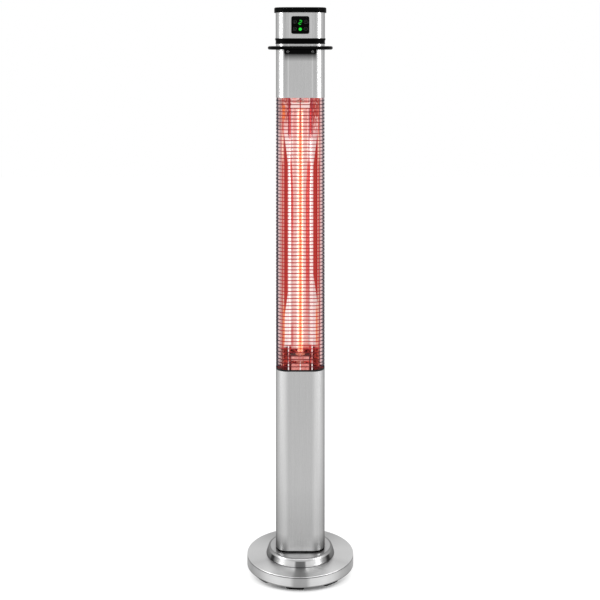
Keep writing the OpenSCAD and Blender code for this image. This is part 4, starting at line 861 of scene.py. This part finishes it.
# floor, lights and camera, in metres
floorLook = {
    "half": 6.0, "fibre": 400.0, "dark": 0.85, "light": 0.87,
    "sideFrom": (0.35, 0.65), "sideGlow": (0.35, 1.2),
    # the real shadow shows more close to the base, and a painted contact shadow darkens the paper there
    "contact": (0.099, 0.118), "contactLess": 0.24, "near": (0.099, 0.130), "nearDepth": (-0.085, -0.03),
    "shadow": (0.66, 0.34),
}
skyLevel = 0.75
lamps = [  # name, watts, width, height, place, aim
    ("leftPanel", 26.0, 0.42, 1.5, (-1.75, -0.75, 1.0), (0.0, 0.0, 0.75)),
    ("rightPanel", 24.0, 0.42, 1.5, (1.75, -0.85, 1.0), (0.0, 0.0, 0.75)),
    ("topPanel", 22.0, 1.6, 1.6, (0.0, -0.7, 2.6), (0.0, 0.0, 0.5)),
]
cards = [  # name, brightness, from and to in x and z, and y
    ("leftCard", 0.74, (-0.62, -0.24), (0.86, 1.35), -1.0),
    ("rightCard", 0.80, (0.22, 0.55), (0.86, 1.35), -1.0),
]
view = {"eye": (0.0, -2.114, 1.0135), "lens": 65.46, "sensor": 36.0, "shiftX": -0.0005, "shiftY": -0.43}


def seenWhite(graph):
    # camera, glossy and transmission rays meet the pale background
    kinds = ("Is Camera Ray", "Is Glossy Ray", "Is Transmission Ray")
    camera, glossy, through = [graph.add("LightPath", output=kind) for kind in kinds]
    return camera.bigger(glossy).bigger(through)


def palePaper(name, look):
    g = material(name)
    x, y = g.axis("X", 1.0), g.axis("Y", 1.0)
    reach = (x * x + y * y) ** 0.5
    fibre = g.noise((1, 1, 1), look["fibre"], 3.0)
    contact = 1 - (1 - reach.rising(*look["contact"])) * look["contactLess"]
    tone = g.times(g.blend(fibre, grey(look["dark"]), grey(look["light"])), contact)
    paper = g.add("BsdfDiffuse", inputs={"Color": tone})
    glow = x.size().rising(*look["sideFrom"]).scaled(*look["sideGlow"])
    light = g.add("Emission", inputs={"Color": grey(1.0), "Strength": glow})
    near = (1 - reach.rising(*look["near"])) * (1 - y.rising(*look["nearDepth"]))
    kept = near.scaled(*look["shadow"])
    return g.end(g.add("MixShader", inputs={0: seenWhite(g) * (1 - kept), 1: paper, 2: light}))


half = floorLook["half"]
left, right = [[-half, half, 0.0], [-half, -half, 0.0]], [[half, half, 0.0], [half, -half, 0.0]]
floor = surface("floor", np.array([left, right]))
floor.data.materials.append(palePaper("palePaper", floorLook))

for name, level, (fromX, toX), (fromZ, toZ), depth in cards:
    left, right = [[fromX, depth, fromZ], [fromX, depth, toZ]], [[toX, depth, fromZ], [toX, depth, toZ]]
    card = surface(name, np.array([left, right]))
    g = material(name)
    card.data.materials.append(g.end(g.add("Emission", inputs={"Color": grey(level), "Strength": 1.0})))
    card.visible_camera = card.visible_diffuse = card.visible_shadow = card.visible_transmission = False

world = bpy.data.worlds.new("studioWorld")
bpy.context.scene.world = world
w = Graph(world)
level = seenWhite(w).scaled(1.0 - skyLevel, skyLevel)
w.end(w.add("Background", inputs={"Color": grey(1.0), "Strength": level}), "OutputWorld")

for name, watts, wide, high, place, aim in lamps:
    lamp = bpy.data.lights.new(name, "AREA")
    lamp.shape = "RECTANGLE"
    lamp.size = wide
    lamp.size_y = high
    lamp.energy = watts
    holder = bpy.data.objects.new(name, lamp)
    holder.location = place
    holder.rotation_euler = (Vector(aim) - Vector(place)).to_track_quat("-Z", "Y").to_euler()
    bpy.context.scene.collection.objects.link(holder)

lens = bpy.data.cameras.new("photoCamera")
lens.sensor_width = view["sensor"]
lens.sensor_fit = "HORIZONTAL"
lens.lens = view["lens"]
lens.shift_x = view["shiftX"]
lens.shift_y = view["shiftY"]
camera = bpy.data.objects.new("photoCamera", lens)
camera.location = view["eye"]
camera.rotation_euler = (math.pi / 2, 0.0, 0.0)
bpy.context.scene.collection.objects.link(camera)
bpy.context.scene.camera = camera
bpy.context.scene.view_settings.view_transform = "Standard"
print("stage, lights and camera set")
